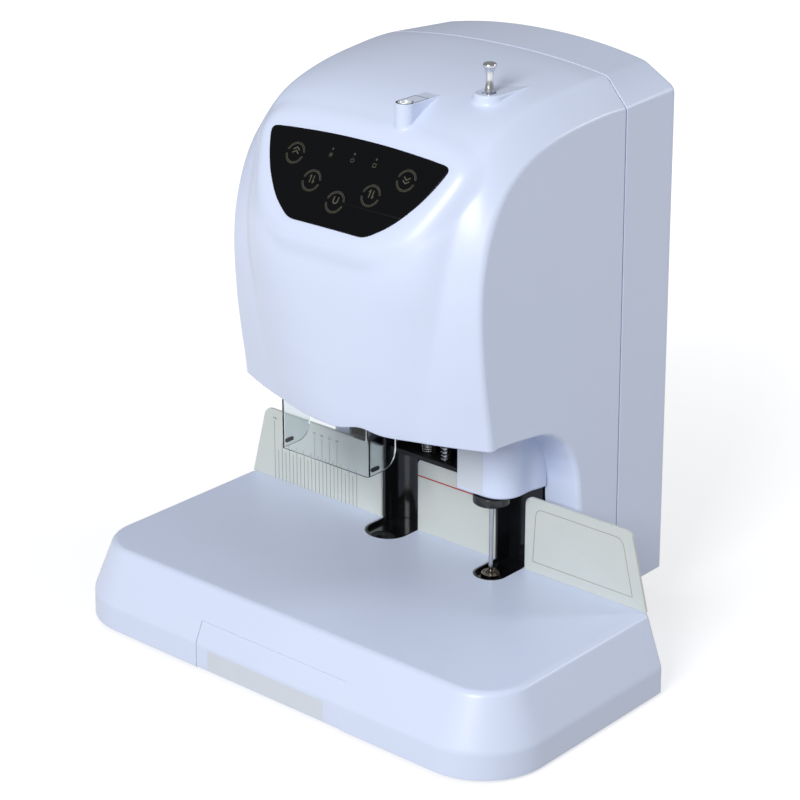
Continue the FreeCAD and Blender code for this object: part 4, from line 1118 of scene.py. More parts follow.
# posts for the cover screws, and the counterbored seats round their heads
for x, z in ((-112, 60), (112, 60), (-112, 250), (112, 250), (-98, 430), (98, 430)):
    sh = Shell()
    prof = [(1.95, 323.0), (1.95, 341.2), (4.2, 341.2), (4.2, 340.0), (4.6, 339.0), (4.6, 323.4), (4.2, 323.0)]
    rows = [[(x + r * math.cos(a), y, z + r * math.sin(a)) for a in np.linspace(0, 2 * math.pi, 41)[:-1]] for r, y in prof]
    rows.append(rows[0])
    sh.rows(rows, close=True)
    bm = sh.bm(0.002)
    bmesh.ops.recalc_face_normals(bm, faces=bm.faces[:])
    tmp = bpy.data.meshes.new("tmp")
    bm.to_mesh(tmp)
    bm.free()
    rear_bm.from_mesh(tmp)
    bpy.data.meshes.remove(tmp)
rear_obj = from_bm("rear_cover_skin", rear_bm, "white", "base", ["rear_cover"], angle=40.0)


# ------------------------------------------------------------------ base cover
BW, BD = 460.0, 212.0


def side_profile():
    """(inset, height) up the skirt: upright band, slope, rounded table edge."""
    path = fillet_path([(0.0, 0.0), (0.6, 22.0), (20.0, 64.0), (46.0, 64.0)], [0, 12.0, 7.0, 0], 8)
    out = []
    for (a, b) in zip(path, path[1:]):
        n = max(1, int(math.hypot(b[0] - a[0], b[1] - a[1]) / 3.0))
        if a[0] > 21 and b[0] > 40:
            n = 1
        for k in range(n):
            out.append((a[0] + (b[0] - a[0]) * k / n, a[1] + (b[1] - a[1]) * k / n))
    # stop at the start of the flat table
    out = [p for p in out if p[1] < 63.999]
    last = [p for p in path if p[1] >= 63.9989][0]
    out.append((last[0], 64.0))
    zc = 38.5
    for i, ((a, za), (b, zb)) in enumerate(zip(out, out[1:])):
        if za < zc < zb:
            f = (zc - za) / (zb - za)
            out.insert(i + 1, (a + (b - a) * f, zc))
            break
    # rounded lower edge
    return [(0.45, 0.0), (0.16, 0.12), (0.03, 0.4)] + out[1:]


PROF = side_profile()
IDX_DRAWER = [i for i, p in enumerate(PROF) if abs(p[1] - 38.5) < 1e-6][0]
DX0, DX1 = -76.0, 79.0


def plan_path(e, x_list):
    """Plan line at an inset: from the back left, round the front, to the back right."""
    es = 0.8 * e if e <= 20 else 16 + (e - 20)
    rf = 58.0 - e if e > 0 else 58.0
    rb = 4.0
    hw = BW / 2 - es
    pts = []
    pts += [(x, BD) for x in (-88.0, -120.0, -160.0, -200.0)]
    pts += [(-hw + rb + rb * math.cos(a), BD - rb + rb * math.sin(a)) for a in np.linspace(math.pi / 2, math.pi, 7)]
    pts += [(-hw, y) for y in np.linspace(BD - rb, e + rf, 14)[1:]]
    pts += [(-hw + rf + rf * math.cos(a), e + rf + rf * math.sin(a)) for a in np.linspace(math.pi, 1.5 * math.pi, 25)[1:]]
    xs = [x for x in x_list]
    x0 = -hw + rf
    pts += [(x, e) for x in xs]
    pts += [(hw - rf + rf * math.cos(a), e + rf + rf * math.sin(a)) for a in np.linspace(1.5 * math.pi, 2 * math.pi, 25)]
    pts += [(hw, y) for y in np.linspace(e + rf, BD - rb, 14)[1:]]
    pts += [(hw - rb + rb * math.cos(a), BD - rb + rb * math.sin(a)) for a in np.linspace(0, math.pi / 2, 7)[1:]]
    pts += [(x, BD) for x in (200.0, 160.0, 120.0, 90.0)]
    return pts


FRONT_X = [-150.0, -125.0, -100.0, DX0, -60, -40, -20, 0, 20, 40, 60, DX1, 100.0, 125.0, 150.0]


def notch(cx, cy, r, z, back, n=36):
    """Slot outline from its right back corner round to its left back corner."""
    pts = [(cx + r, y, z) for y in np.linspace(back, cy, 8)]
    pts += [(cx + r * math.cos(a), cy + r * math.sin(a), z) for a in np.linspace(0, -math.pi, n)[1:]]
    pts += [(cx - r, y, z) for y in np.linspace(cy, back, 8)[1:]]
    return pts


def base_cover():
    sh = Shell()
    rows = [[(x, y, z) for x, y in plan_path(e, FRONT_X)] for e, z in PROF]
    n0 = len(rows[0])
    i0 = rows[0].index(next(p for p in rows[0] if abs(p[0] - DX0) < 1e-6 and p[1] < 5))
    i1 = rows[0].index(next(p for p in rows[0] if abs(p[0] - DX1) < 1e-6 and p[1] < 5))
    sh.rows(rows, skip=lambda i, j: i0 <= j < i1 and i < IDX_DRAWER)
    # slots: rounded rim, then down into the wall's thickness
    edge = []
    for cx, cy, r in ((75.5, 186.5, 14.3), (-41.5, 194.5, 19.5)):
        rr = []
        for k in range(5):
            a = math.pi / 2 * k / 4
            o = 0.8 * (1 - math.sin(a))
            rr.append(notch(cx, cy, r + o, 64.0 - 0.8 * (1 - math.cos(a)), BD))
        rr.append(notch(cx, cy, r, 61.0, BD))
        sh.rows(rr)
        edge.append(rr[0])
    top = [tuple(p) for p in rows[-1]]
    back = edge[0] + edge[1]
    sh.poly([top + back], (0, 0, 1))
    bm = turn_outward(sh.bm(0.008), (0, 100, 64), (0, 0, 1))
    thicken(bm, 3.0)
    return bm


base_obj = from_bm("base_cover_skin", base_cover(), "white", "base", ["base_cover"], angle=38.0)


# ------------------------------------------------------------------ chip drawer
def drawer():
    g = 0.28
    x0, x1 = DX0 + g, DX1 - g
    prof = [p for p in PROF if p[1] < 37.9 and p[1] > 0.7]
    f = next((a, b) for a, b in zip(PROF, PROF[1:]) if a[1] <= 38.0 <= b[1])
    t = (38.2 - f[0][1]) / (f[1][1] - f[0][1])
    prof = [(0.02, 0.6)] + prof + [(f[0][0] + (f[1][0] - f[0][0]) * t, 38.2)]
    xs = sorted(set([x0, x1, x0 + 0.5, x1 - 0.5] + list(np.linspace(x0, x1, 12))))
    sh = Shell()
    rows = []
    for i, (e, z) in enumerate(prof):
        row = []
        for x in xs:
            d = 0.0
            if x in (x0, x1):
                d = 0.35
            if i in (0, len(prof) - 1):
                d = max(d, 0.35)
            row.append((x, e + d, z))
        rows.append(row)
    sh.rows(rows)
    bm = turn_outward(sh.bm(0.005), (0, 1, 10), (0, -1, 0))
    thicken(bm, 3.0)

    def add_box(x0, x1, y0, y1, z0, z1, b=0.5):
        tm = bmesh.new()
        bmesh.ops.create_cube(tm, size=1.0)
        for v in tm.verts:
            v.co = Vector(m((x0 if v.co.x < 0 else x1, y0 if v.co.y < 0 else y1, z0 if v.co.z < 0 else z1)))
        bmesh.ops.bevel(tm, geom=tm.edges[:], offset=b / 1000, segments=2, affect="EDGES", profile=0.5)
        tmp = bpy.data.meshes.new("tmp")
        tm.to_mesh(tmp)
        tm.free()
        bm.from_mesh(tmp)
        bpy.data.meshes.remove(tmp)

    add_box(-70, 73, 8.5, 163, 7, 9)
    add_box(-70, -68, 15, 163, 7.5, 36)
    add_box(71, 73, 15, 163, 7.5, 36)
    add_box(-70, 73, 161, 163, 7.5, 36)
    add_box(-70, 73, 12, 14, 7.5, 29.5)
    add_box(-70, -68, 3.6, 15, 7.5, 28)
    add_box(71, 73, 3.6, 15, 7.5, 28)
    return bm


from_bm("chip_drawer_body", drawer(), "white", "drawer", ["chip_drawer"], angle=35.0)
card_loop = fillet_path([(-63, 1.4), (62, 1.4), (62, 18.6), (-63, 18.6)], 0.8, 4, True)
slab("drawer_card_film", card_loop, -0.02, 0.30, lambda u, v, w: (u, 0.6 * v / 22.0 - 0.02 + w, v), "card", "drawer", ["drawer_card"], bevel=0.04)


# ------------------------------------------------------------------ backstop plates
PY0, PY1 = 209.0, 211.5


def sheet_plate(name, corners, radii, node, extra=None):
    loop = fillet_path(corners, radii, 8, True)
    obj = slab(name, loop, PY0, PY1, XZ, "plate", "base", [node], bevel=0.35)
    return obj


def merge_into(obj, sh_or_bm):
    bm = bmesh.new()
    bm.from_mesh(obj.data)
    tmp = bpy.data.meshes.new("tmp")
    sh_or_bm.to_mesh(tmp)
    sh_or_bm.free()
    bm.from_mesh(tmp)
    bpy.data.meshes.remove(tmp)
    mats = [x for x in obj.data.materials]
    bm.to_mesh(obj.data)
    bm.free()
    for p in obj.data.polygons:
        p.use_smooth = True
        p.material_index = 0
    obj.data.set_sharp_from_angle(angle=math.radians(32))


def block(x0, x1, y0, y1, z0, z1, b=0.5, seg=2):
    tm = bmesh.new()
    bmesh.ops.create_cube(tm, size=1.0)
    for v in tm.verts:
        v.co = Vector(m((x0 if v.co.x < 0 else x1, y0 if v.co.y < 0 else y1, z0 if v.co.z < 0 else z1)))
    if b:
        bmesh.ops.bevel(tm, geom=tm.edges[:], offset=b / 1000, segments=seg, affect="EDGES", profile=0.5)
    return tm


def folded_plate(name, corners, radii, node, fold_x, side):
    """Plate with one upright edge folded back: the corner is a bend of 1.6 mm."""
    obj = sheet_plate(name, corners, radii, node)
    sh = Shell()
    r, t = 1.6, 2.2
    x_out = fold_x
    yf = PY0 - 0.06
    path = fillet_path([(x_out - side * 4.0, yf), (x_out, yf), (x_out, PY0 + 12.0)], [0, r, 0], 6)
    z0, z1 = 64.05, 129.0 if side > 0 else 129.0
    p = np.array(path)
    tt = np.gradient(p, axis=0)
    tt /= np.linalg.norm(tt, axis=1)[:, None]
    nn = np.stack([-tt[:, 1], tt[:, 0]], 1) * (1 if side > 0 else -1)
    inner = p + nn * t
    ring = [tuple(q) for q in p] + [tuple(q) for q in inner[::-1]]
    rows = []
    b = 0.3
    for ins, z in ((b, z0), (0, z0 + b), (0, z1 - b), (b, z1)):
        rows.append([(x, y, z) for x, y in offset_loop(ccw(ring), -ins)])
    sh.rows(rows, close=True)
    sh.poly([rows[0]], (0, 0, -1))
    sh.poly([rows[-1]], (0, 0, 1))
    bm = sh.bm(0.002)
    bmesh.ops.recalc_face_normals(bm, faces=bm.faces[:])
    merge_into(obj, bm)
    return obj


folded_plate("left_backstop_plate", [(-213, 64.05), (-63.5, 64.05), (-63.5, 129), (-196, 129)], [0.5, 0.2, 0.2, 9], "left_backstop", -62.0, 1)
folded_plate("middle_backstop_plate", [(-21.7, 64.05), (59.5, 64.05), (59.5, 129), (-21.7, 129)], [0.2, 0.2, 0.2, 5], "middle_backstop", 61.0, 1)
sheet_plate("right_backstop_plate", [(92, 64.05), (213, 64.05), (196, 129), (92, 129)], [0.2, 0.5, 7, 7], "right_backstop")


def print_bars(name, bars, y, mat, body="base", slot=None, depth=0.06):
    """Thin printed marks on an upright face at y: (x0, z0, x1, z1, width)."""
    sh = Shell()
    for x0, z0, x1, z1, w in bars:
        d = np.array([x1 - x0, z1 - z0], float)
        d /= np.linalg.norm(d)
        n = np.array([-d[1], d[0]]) * w / 2
        q = [np.array([x0, z0]) - n, np.array([x1, z1]) - n, np.array([x1, z1]) + n, np.array([x0, z0]) + n]
        f = [(p[0], y - depth, p[1]) for p in q]
        g = [(p[0], y + 0.02, p[1]) for p in q]
        sh.rows([f, g], close=True)
        sh.ngon(f, (0, -1, 0))
        sh.ngon(g, (0, 1, 0))
    bm = sh.bm(0)
    bmesh.ops.remove_doubles(bm, verts=bm.verts[:], dist=1e-7)
    return from_bm(name, bm, mat, body, (), slot, orient=True, weighted=False)


def digits(name, items, size, to_world, mat, body="base", depth=0.05, slot=None, font_scale=1.0):
    """Small printed numbers: items are (text, u, v); to_world(u, v, w) gives millimetres."""
    whole = bmesh.new()
    for text, u, v in items:
        cu = bpy.data.curves.new("t", "FONT")
        cu.body = text
        cu.size = size
        cu.align_x, cu.align_y = "CENTER", "CENTER"
        cu.resolution_u = 3
        cu.extrude = depth / 2
        ob = bpy.data.objects.new("t", cu)
        SCENE.collection.objects.link(ob)
        bpy.context.view_layer.update()
        me = bpy.data.meshes.new_from_object(ob)
        bpy.data.objects.remove(ob)
        bpy.data.curves.remove(cu)
        for vert in me.vertices:
            x, y, z = vert.co
            vert.co = Vector(m(to_world(u + x, v + y, z + depth / 2 - 0.01)))
        whole.from_mesh(me)
        bpy.data.meshes.remove(me)
    bmesh.ops.remove_doubles(whole, verts=whole.verts[:], dist=1e-7)
    return from_bm(name, whole, mat, body, (), slot, orient=True, weighted=False)


# ruled scale on the left plate: distance lines and small numbers
bars = []
first, pitch = -186.0, 4.36
tops = {0: 118.5}
for i in range(23):
    x = first + pitch * i
    if x > -89.5:
        break
    if i == 0:
        top = 118.5
    elif i in (11, 13, 15, 17):
        top = 117.0
    elif i % 2 == 0:
        top = 100.0
    else:
        top = 92.0
    bars.append((x, 64.3, x, top, 0.42))
print_bars("scale_lines", bars, PY0, "ink", depth=0.05)
digits("scale_numbers", [("145", -185.5, 120.9), ("95", -138.0, 119.6), ("85", -129.2, 119.6), ("75", -120.6, 119.6), ("65", -111.8, 119.6)],
       3.3, lambda u, v, w: (u, PY0 - w, v), "ink_dark")
print_bars("stack_mark", [(-21.3, 114.0, 60.0, 114.0, 1.15)], PY0, "red", depth=0.05)
frame_pts = fillet_path([(100.5, 73.5), (199.5, 73.5), (188.0, 120.5), (103.0, 120.5)], [0.6, 0.6, 8, 6], 6, True)
print_bars("right_plate_border", [(*a, *b, 0.42) for a, b in zip(frame_pts, frame_pts[1:] + frame_pts[:1])
                                  if math.dist(a, b) > 1e-3], PY0, "ink_brown", depth=0.05)

# ------------------------------------------------------------------ drill station
SD = (-41.5, 194.5, 19.5)
SP = (75.5, 186.5, 14.3)


def tray_liner(cx, cy, r, hole, name_rows=None):
    """Floor and raised lip of a station's liner inside the table's slot."""
    sh = Shell()
    ro, ri, zf, zt = r - 0.25, r - 1.8, 60.0, 63.5

    def u(rad, z):
        return notch(cx, cy, rad, z, 211.0, 48)

    prof = [(ro, 57.5), (ro, zt - 0.5), (ro - 0.15, zt - 0.15), (ro - 0.5, zt), (ri + 0.5, zt), (ri + 0.15, zt - 0.15), (ri, zt - 0.5),
            (ri, zf + 1.0), (ri - 0.3, zf + 0.3), (ri - 1.0, zf)]
    rows = [u(rad, z) for rad, z in prof]
    sh.rows(rows)
    hx, hy, hr = hole
    n = 64
    ring = [(hx + hr * math.cos(2 * math.pi * k / n), hy + hr * math.sin(2 * math.pi * k / n)) for k in range(n)]
    up = [(x, y, zf) for x, y in ring]
    lo = [(x, y, 57.5) for x, y in ring]
    sh.rows([up, lo], close=True)
    sh.poly([rows[-1], up], (0, 0, 1))
    sh.poly([rows[0], lo], (0, 0, -1))
    # flat back end
    back = [rows[i][0] for i in range(len(rows))], [rows[i][-1] for i in range(len(rows))]
    a = [rows[i][0] for i in range(len(rows))]
    b = [rows[i][-1] for i in range(len(rows))]
    sh.poly([a + b[::-1]], (0, 1, 0))
    return sh


def drill_liner():
    sh = tray_liner(*SD, (-41.5, 187.0, 10.2))
    cx = SD[0]
    y0, yc, ro, ri = 209.6, 213.0, 19.2, 16.8
    rng = np.linspace(0, math.pi, 40)
    outer = [(cx + ro, y0)] + [(cx + ro * math.cos(a), yc + ro * math.sin(a)) for a in rng] + [(cx - ro, y0)]
    inner = [(cx - ri, y0)] + [(cx + ri * math.cos(a), yc + ri * math.sin(a)) for a in rng[::-1]] + [(cx + ri, y0)]
    ring = outer + inner
    ring = ccw(ring)
    rows = []
    b = 0.4
    for ins, z in ((b, 60.0), (0, 60.0 + b), (0, 141.5 - b), (b, 141.5)):
        rows.append([(x, y, z) for x, y in offset_loop(ring, -ins)])
    sh.rows(rows, close=True)
    sh.poly([rows[0]], (0, 0, -1))
    sh.poly([rows[-1]], (0, 0, 1))
    # floor of the channel behind the plates
    fl = [(cx + 19.0 * math.cos(a), yc + 19.0 * math.sin(a)) for a in np.linspace(0, math.pi, 40)] + [(cx - 19.0, 211.0), (cx + 19.0, 211.0)]
    lo = [(x, y, 57.6) for x, y in fl]
    hi = [(x, y, 60.0) for x, y in fl]
    sh.rows([lo, hi], close=True)
    sh.ngon(lo, (0, 0, -1))
    sh.ngon(hi, (0, 0, 1))
    return sh.bm(0.0)


bm = drill_liner()
bmesh.ops.remove_doubles(bm, verts=bm.verts[:], dist=2e-6)
from_bm("drill_slot_liner_shell", bm, "gloss_black", "base", ["drill_slot_liner"], angle=35.0, orient=True)
lathe("drill_pad_ring", [(4.6, 52.0), (4.6, 59.0), (4.9, 59.5), (5.3, 59.6), (9.5, 59.6), (9.9, 59.4), (10.0, 59.0), (10.0, 52.0), (4.6, 52.0)],
      -41.5, 187.0, "black", nodes=["drill_pad"])


def press_liner():
    sh = tray_liner(*SP, (75.0, 187.0, 8.15))
    bm = sh.bm(0.0)
    bmesh.ops.remove_doubles(bm, verts=bm.verts[:], dist=2e-6)
    for bx in ((61.4, 63.2, 209.6, 227.6, 58.0, 133.5), (61.4, 96.5, 225.6, 227.6, 66.0, 141.5), (61.4, 89.6, 225.4, 227.5, 57.6, 68.0),
               (61.4, 89.6, 211.0, 227.4, 57.5, 60.0), (88.0, 89.6, 209.6, 227.4, 57.6, 62.0)):
        t = block(*bx, b=0.35)
        tmp = bpy.data.meshes.new("tmp")
        t.to_mesh(tmp)
        t.free()
        bm.from_mesh(tmp)
        bpy.data.meshes.remove(tmp)
    return bm


from_bm("press_slot_liner_shell", press_liner(), "gloss_black", "base", ["press_slot_liner"], angle=35.0, orient=True)

# lower die with its turned rings, guide pin, hot die and guard ring
PX, PYY = 75.0, 187.0
lathe("rivet_die_turned", [(2.25, 50.0), (2.25, 63.5), (2.5, 63.8), (2.75, 63.8), (2.9, 63.6), (2.95, 62.5), (4.05, 62.5), (4.1, 63.6), (4.3, 63.8),
                           (5.2, 63.8), (5.4, 63.6), (5.42, 63.1), (6.28, 63.1), (6.3, 63.6), (6.5, 63.8), (7.4, 63.8), (7.7, 63.6), (7.8, 63.2),
                           (7.8, 50.0), (2.25, 50.0)], PX, PYY, "die_steel", nodes=["rivet_die"], n=128)
lathe("guide_pin_turned", [(0.0, 63.0), (1.1, 63.1), (1.65, 63.9), (1.8, 65.0), (1.8, 318.0), (3.3, 318.0), (3.5, 318.2), (3.5, 319.8), (3.3, 320.0),
                           (1.8, 320.0), (1.8, 325.7), (1.5, 326.0), (0.0, 326.0)], PX, PYY, "steel", "pin_group", ["guide_pin"], n=64)
lathe("insulating_sleeve_turned", [(7.65, 126.2), (13.6, 126.2), (14.7, 126.5), (15.3, 127.2), (15.4, 128.0), (15.4, 132.8), (15.1, 133.4),
                                   (14.6, 133.6), (9.3, 133.6), (9.3, 209.7), (9.0, 210.0), (7.65, 210.0), (7.65, 126.2)],
      PX, PYY, "gloss_black", "press_head", ["insulating_sleeve"], n=128)
lathe("hot_die_turned", [(2.4, 128.0), (2.9, 127.5), (6.6, 127.5), (7.3, 127.9), (7.6, 128.6), (7.6, 209.5), (7.3, 210.0), (2.4, 210.0), (2.4, 128.0)],
      PX, PYY, "steel", "press_head", ["hot_die"], n=96)


# ------------------------------------------------------------------ press head housing
def housing():
    x0, x1, y0, r = 48.5, 97.6, 174.6, 22.0
    z0, z1 = 134.0, 205.0

    def plan(o, z):
        rl = max(1.4 - o, 0.3)
        yr = y0 + o + rl
        pts = [(x0 + o, y, z) for y in np.linspace(max(178.6, yr + 0.12), yr, 4)]
        pts += [(x0 + o + rl - rl * math.cos(a), y0 + o + rl - rl * math.sin(a), z) for a in np.linspace(0, math.pi / 2, 6)[1:]]
        pts += [(x, y0 + o, z) for x in np.linspace(x0 + o + rl, x1 - r, 10)[1:]]
        pts += [(x1 - r + (r - o) * math.sin(a), y0 + r - (r - o) * math.cos(a), z) for a in np.linspace(0, math.pi / 2, 22)[1:]]
        # the side runs back with a slight flare into the cheek's return
        ys = np.linspace(y0 + r, 224.3, 12)[1:]
        pts += [(x1 - o + 3.2 * smoothstep((y - 205.0) / 19.0), y, z) for y in ys]
        return pts

    sh = Shell()
    rows = []
    R = 2.3
    rows.append(plan(R + 0.2, z0))
    for k in range(0, 8):
        a = math.pi / 2 * k / 7
        rows.append(plan(R * (1 - math.sin(a)), z0 + R * (1 - math.cos(a))))
    for z in np.linspace(z0 + R, z1, 14)[1:]:
        rows.append(plan(0.0, z))
    sh.rows(rows)
    # floor, open at the left behind the front wall and round the press sleeve
    lo = rows[0]
    n = 72
    ring = [(75.0 + 9.5 * math.cos(2 * math.pi * k / n), 187.0 + 9.5 * math.sin(2 * math.pi * k / n), z0) for k in range(n)]
    outer = [(x0 + R + 0.2, 181.5, z0)] + list(lo)
    outer += [(62.0, lo[-1][1], z0), (62.0, 181.5, z0)]
    sh.poly([outer, ring], (0, 0, -1))
    bm = turn_outward(sh.bm(0.004), (60, y0, 160), (0, -1, 0))
    thicken(bm, 2.2)
    return bm


from_bm("press_head_housing_shell", housing(), "white", "base", ["press_head_housing"], angle=38.0)
card = fillet_path([(50.0, 137.0), (75.2, 137.0), (75.2, 172.0), (50.0, 172.0)], 1.0, 5, True)
blank = slab("blank_card_front", card, 174.35, 174.62, XZ, "card", "base", ["blank_cards"], bevel=0.05)


# ------------------------------------------------------------------ drill guard
def guard():
    gx0, gx1, y0, y1, z0, z1, t = -90.5, 4.5, 118.0, 151.5, 149.0, 236.0, 2.0
    r = 3.2
    zs = list(np.linspace(z0, z1, 40))
    # plan line of the outer face from the left return's back end to the right one's
    left = [(gx0, y) for y in np.linspace(y1, y0 + r, 26)]
    bend_l = [(gx0 + r - r * math.cos(a), y0 + r - r * math.sin(a)) for a in np.linspace(0, math.pi / 2, 10)[1:]]
    front = [(x, y0) for x in np.linspace(gx0 + r, gx1 - r, 40)[1:]]
    bend_r = [(gx1 - r + r * math.sin(a), y0 + r - r * math.cos(a)) for a in np.linspace(0, math.pi / 2, 10)[1:]]
    right = [(gx1, y) for y in np.linspace(y0 + r, y1, 26)[1:]]
    path = left + bend_l + front + bend_r + right
    path = np.array(path)

    def low(y):
        """Lower edge: the returns' rear corners are round."""
        R = 14.0
        if y <= y1 - R:
            return z0
        d = min(y - (y1 - R), R)
        return z0 + R - math.sqrt(max(R * R - d * d, 0.0))

    lows = np.array([low(y) for x, y in path])
    sh = Shell()
    rows = []
    for k in range(41):
        f = k / 40
        rows.append([(x, y, zl + (z1 - zl) * f) for (x, y), zl in zip(path, lows)])
    sh.rows(rows)
    bm = turn_outward(sh.bm(0.002), (-40, y0, 190), (0, -1, 0))
    thicken(bm, t)
    bm.normal_update()
    sharp = [e for e in bm.edges if len(e.link_faces) == 2 and e.calc_face_angle() > math.radians(50)]
    bmesh.ops.bevel(bm, geom=sharp, offset=0.00025, segments=2, affect="EDGES", profile=0.5, clamp_overlap=True)
    return bm


guard_obj = from_bm("drill_guard_sheet", guard(), "acrylic", "base", ["drill_guard"], angle=30.0)
# dark stud that locks the right return, and one like it on the left return
slab("guard_slot_right", fillet_path([(122.5, 152.4), (131.5, 152.4), (131.5, 155.6), (122.5, 155.6)], 1.2, 5, True), 2.3, 4.7, YZ, "black", "base",
     bevel=0.15, slot="liner_black")
slab("guard_slot_left", fillet_path([(122.5, 152.4), (131.5, 152.4), (131.5, 155.6), (122.5, 155.6)], 1.2, 5, True), -90.7, -88.3, YZ, "black", "base",
     bevel=0.15, slot="liner_black")

# ------------------------------------------------------------------ control panel


def on_panel(u, v, n):
    return tuple(PO + np.array([u, 0, 0]) + PV * v + PN * n)


panel_loop = offset_loop(ccw(PANEL_LOOP), -0.25)
slab("control_panel_overlay", [tuple(p) for p in panel_loop], -1.7, -0.1, on_panel, "panel", "base", ["control_panel"], bevel=0.55, seg=4, angle=9.0)


def flat_shapes(name, loops, mat, z=-0.1, depth=0.05, to=on_panel, body="base", slot=None):
    """Thin printed shapes on the panel: each entry is (outer loop, [holes])."""
    sh = Shell()
    for outer, holes in loops:
        outer = ccw(outer)
        a = [to(u, v, z + depth) for u, v in outer]
        b = [to(u, v, z - 0.02) for u, v in outer]
        sh.rows([b, a], close=True)
        ha, hb = [], []
        for h in holes:
            h = ccw(h)
            x, y = [to(u, v, z + depth) for u, v in h], [to(u, v, z - 0.02) for u, v in h]
            sh.rows([x, y], close=True)
            ha.append(x)
            hb.append(y)
        c = np.asarray(to(0, 0, 1), float) - np.asarray(to(0, 0, 0), float)
        sh.poly([a] + ha, c)
        sh.poly([b] + hb, -c)
    bm = sh.bm(0)
    bmesh.ops.remove_doubles(bm, verts=bm.verts[:], dist=1e-7)
    return from_bm(name, bm, mat, body, (), slot, orient=True, weighted=False)


def arc_band(u, v, r0, r1, a0, a1, n=24):
    o = [(u + r1 * math.cos(math.radians(a0 + (a1 - a0) * k / n)), v + r1 * math.sin(math.radians(a0 + (a1 - a0) * k / n))) for k in range(n + 1)]
    i = [(u + r0 * math.cos(math.radians(a1 - (a1 - a0) * k / n)), v + r0 * math.sin(math.radians(a1 - (a1 - a0) * k / n))) for k in range(n + 1)]
    return o + i


def stroke(pts, w):
    """Outline of a polyline of width w."""
    p = np.asarray(pts, float)
    out_l, out_r = [], []
    for i in range(len(p)):
        if i == 0:
            d = p[1] - p[0]
        elif i == len(p) - 1:
            d = p[-1] - p[-2]
        else:
            a = (p[i] - p[i - 1]) / np.linalg.norm(p[i] - p[i - 1])
            b = (p[i + 1] - p[i]) / np.linalg.norm(p[i + 1] - p[i])
            d = a + b
            c = max(0.35, np.linalg.norm(d) / 2)
            d = d / np.linalg.norm(d)
            n = np.array([-d[1], d[0]]) * w / 2 / c
            out_l.append(tuple(p[i] + n))
            out_r.append(tuple(p[i] - n))
            continue
        d = d / np.linalg.norm(d)
        n = np.array([-d[1], d[0]]) * w / 2
        out_l.append(tuple(p[i] + n))
        out_r.append(tuple(p[i] - n))
    return out_l + out_r[::-1]


KEYS = [(0, 20.9), (-30, 32.5), (30, 32.5), (-56, 50.3), (56, 50.3)]
shapes = []
for u, v in KEYS:
    # ring of two arcs with fine teeth on it
    for s in (0, 180):
        shapes.append((arc_band(u, v, 7.3, 7.75, 12 + s, 168 + s), []))
        for k in range(34):
            a = 10 + 160 * (k + 0.5) / 34
            shapes.append((arc_band(u, v, 8.25, 9.0, a + s - 1.3, a + s + 1.3, 2), []))


def chevron(u, v, s):
    w, h = 3.2, 2.2 * s
    return [(u - w, v - h / 2), (u, v + h / 2), (u + w, v - h / 2)]


for u, v, s in ((-56, 50.3, 1), (56, 50.3, -1)):
    shapes.append((stroke(chevron(u, v - 0.4 * s + 1.2, s), 0.9), []))
    shapes.append((stroke(chevron(u, v + 2.5 * s + 1.2, s), 0.9), []))
# two small arrows on the outer keys, a hook shape on the middle key
for u, v in ((-30, 32.5), (30, 32.5)):
    shapes.append((stroke([(u - 1.5, v - 1.8), (u - 1.5, v + 4.4)], 0.9), []))
    shapes.append((stroke([(u + 1.5, v - 1.8), (u + 1.5, v + 4.4)], 0.9), []))
    shapes.append((stroke([(u - 2.9, v + 2.6), (u - 1.5, v + 4.7)], 0.7), []))
    shapes.append((stroke([(u + 2.9, v + 0.0), (u + 1.5, v - 2.1)], 0.7), []))
u, v = 0, 20.9
hook = [(u - 2.1, v + 4.4), (u - 2.1, v + 1.2)] + [(u - 2.1 * math.cos(a), v + 1.2 - 2.1 * math.sin(a)) for a in np.linspace(0, math.pi, 12)[1:-1]] + [
    (u + 2.1, v + 1.2), (u + 2.1, v + 4.4)]
shapes.append((stroke(hook, 1.1), []))
# small marks under the lamps: a dot, a ring with a bar, and a square
shapes.append(([(-22 + 0.9 * math.cos(a), 55.6 + 0.9 * math.sin(a)) for a in np.linspace(0, 2 * math.pi, 17)[:-1]], []))
for k in range(8):
    a = 2 * math.pi * k / 8
    shapes.append((stroke([(-22 + 1.3 * math.cos(a), 55.6 + 1.3 * math.sin(a)), (-22 + 2.0 * math.cos(a), 55.6 + 2.0 * math.sin(a))], 0.4), []))
shapes.append((arc_band(0, 55.4, 1.35, 1.8, -230, 50), []))
shapes.append((stroke([(0, 55.6), (0, 57.6)], 0.45), []))
shapes.append((stroke([(20.4, 54.2), (23.6, 54.2)], 0.5), []))
shapes.append((stroke([(20.4, 57.0), (23.6, 57.0)], 0.5), []))
shapes.append((stroke([(20.6, 54.2), (20.6, 57.0)], 0.5), []))
shapes.append((stroke([(23.4, 54.2), (23.4, 57.0)], 0.5), []))
flat_shapes("panel_print", shapes, "icon", slot="panel_black")


def lamp(u, v):
    sh = Shell()
    rows = []
    for r, n in ((1.05, -0.12), (1.0, 0.05), (0.8, 0.28), (0.45, 0.42), (0.0, 0.46)):
        rows.append([on_panel(u + r * math.cos(a), v + r * math.sin(a), n) for a in np.linspace(0, 2 * math.pi, 25)[:-1]])
    sh.rows(rows, close=True)
    sh.ngon(rows[0], -PN)
    return sh


whole = Shell()
for u in (-22, 0, 22):
    s = lamp(u, 60.6)
    o = len(whole.v)
    whole.v += s.v
    whole.f += [tuple(k + o for k in f) for f in s.f]
bm = whole.bm(0)
bmesh.ops.remove_doubles(bm, verts=bm.verts[:], dist=2e-6)
from_bm("panel_lamps", bm, "lamp", "base", (), "panel_black", orient=True)

# ------------------------------------------------------------------ knob, rod, inlet
KX, KY = PULL_AT


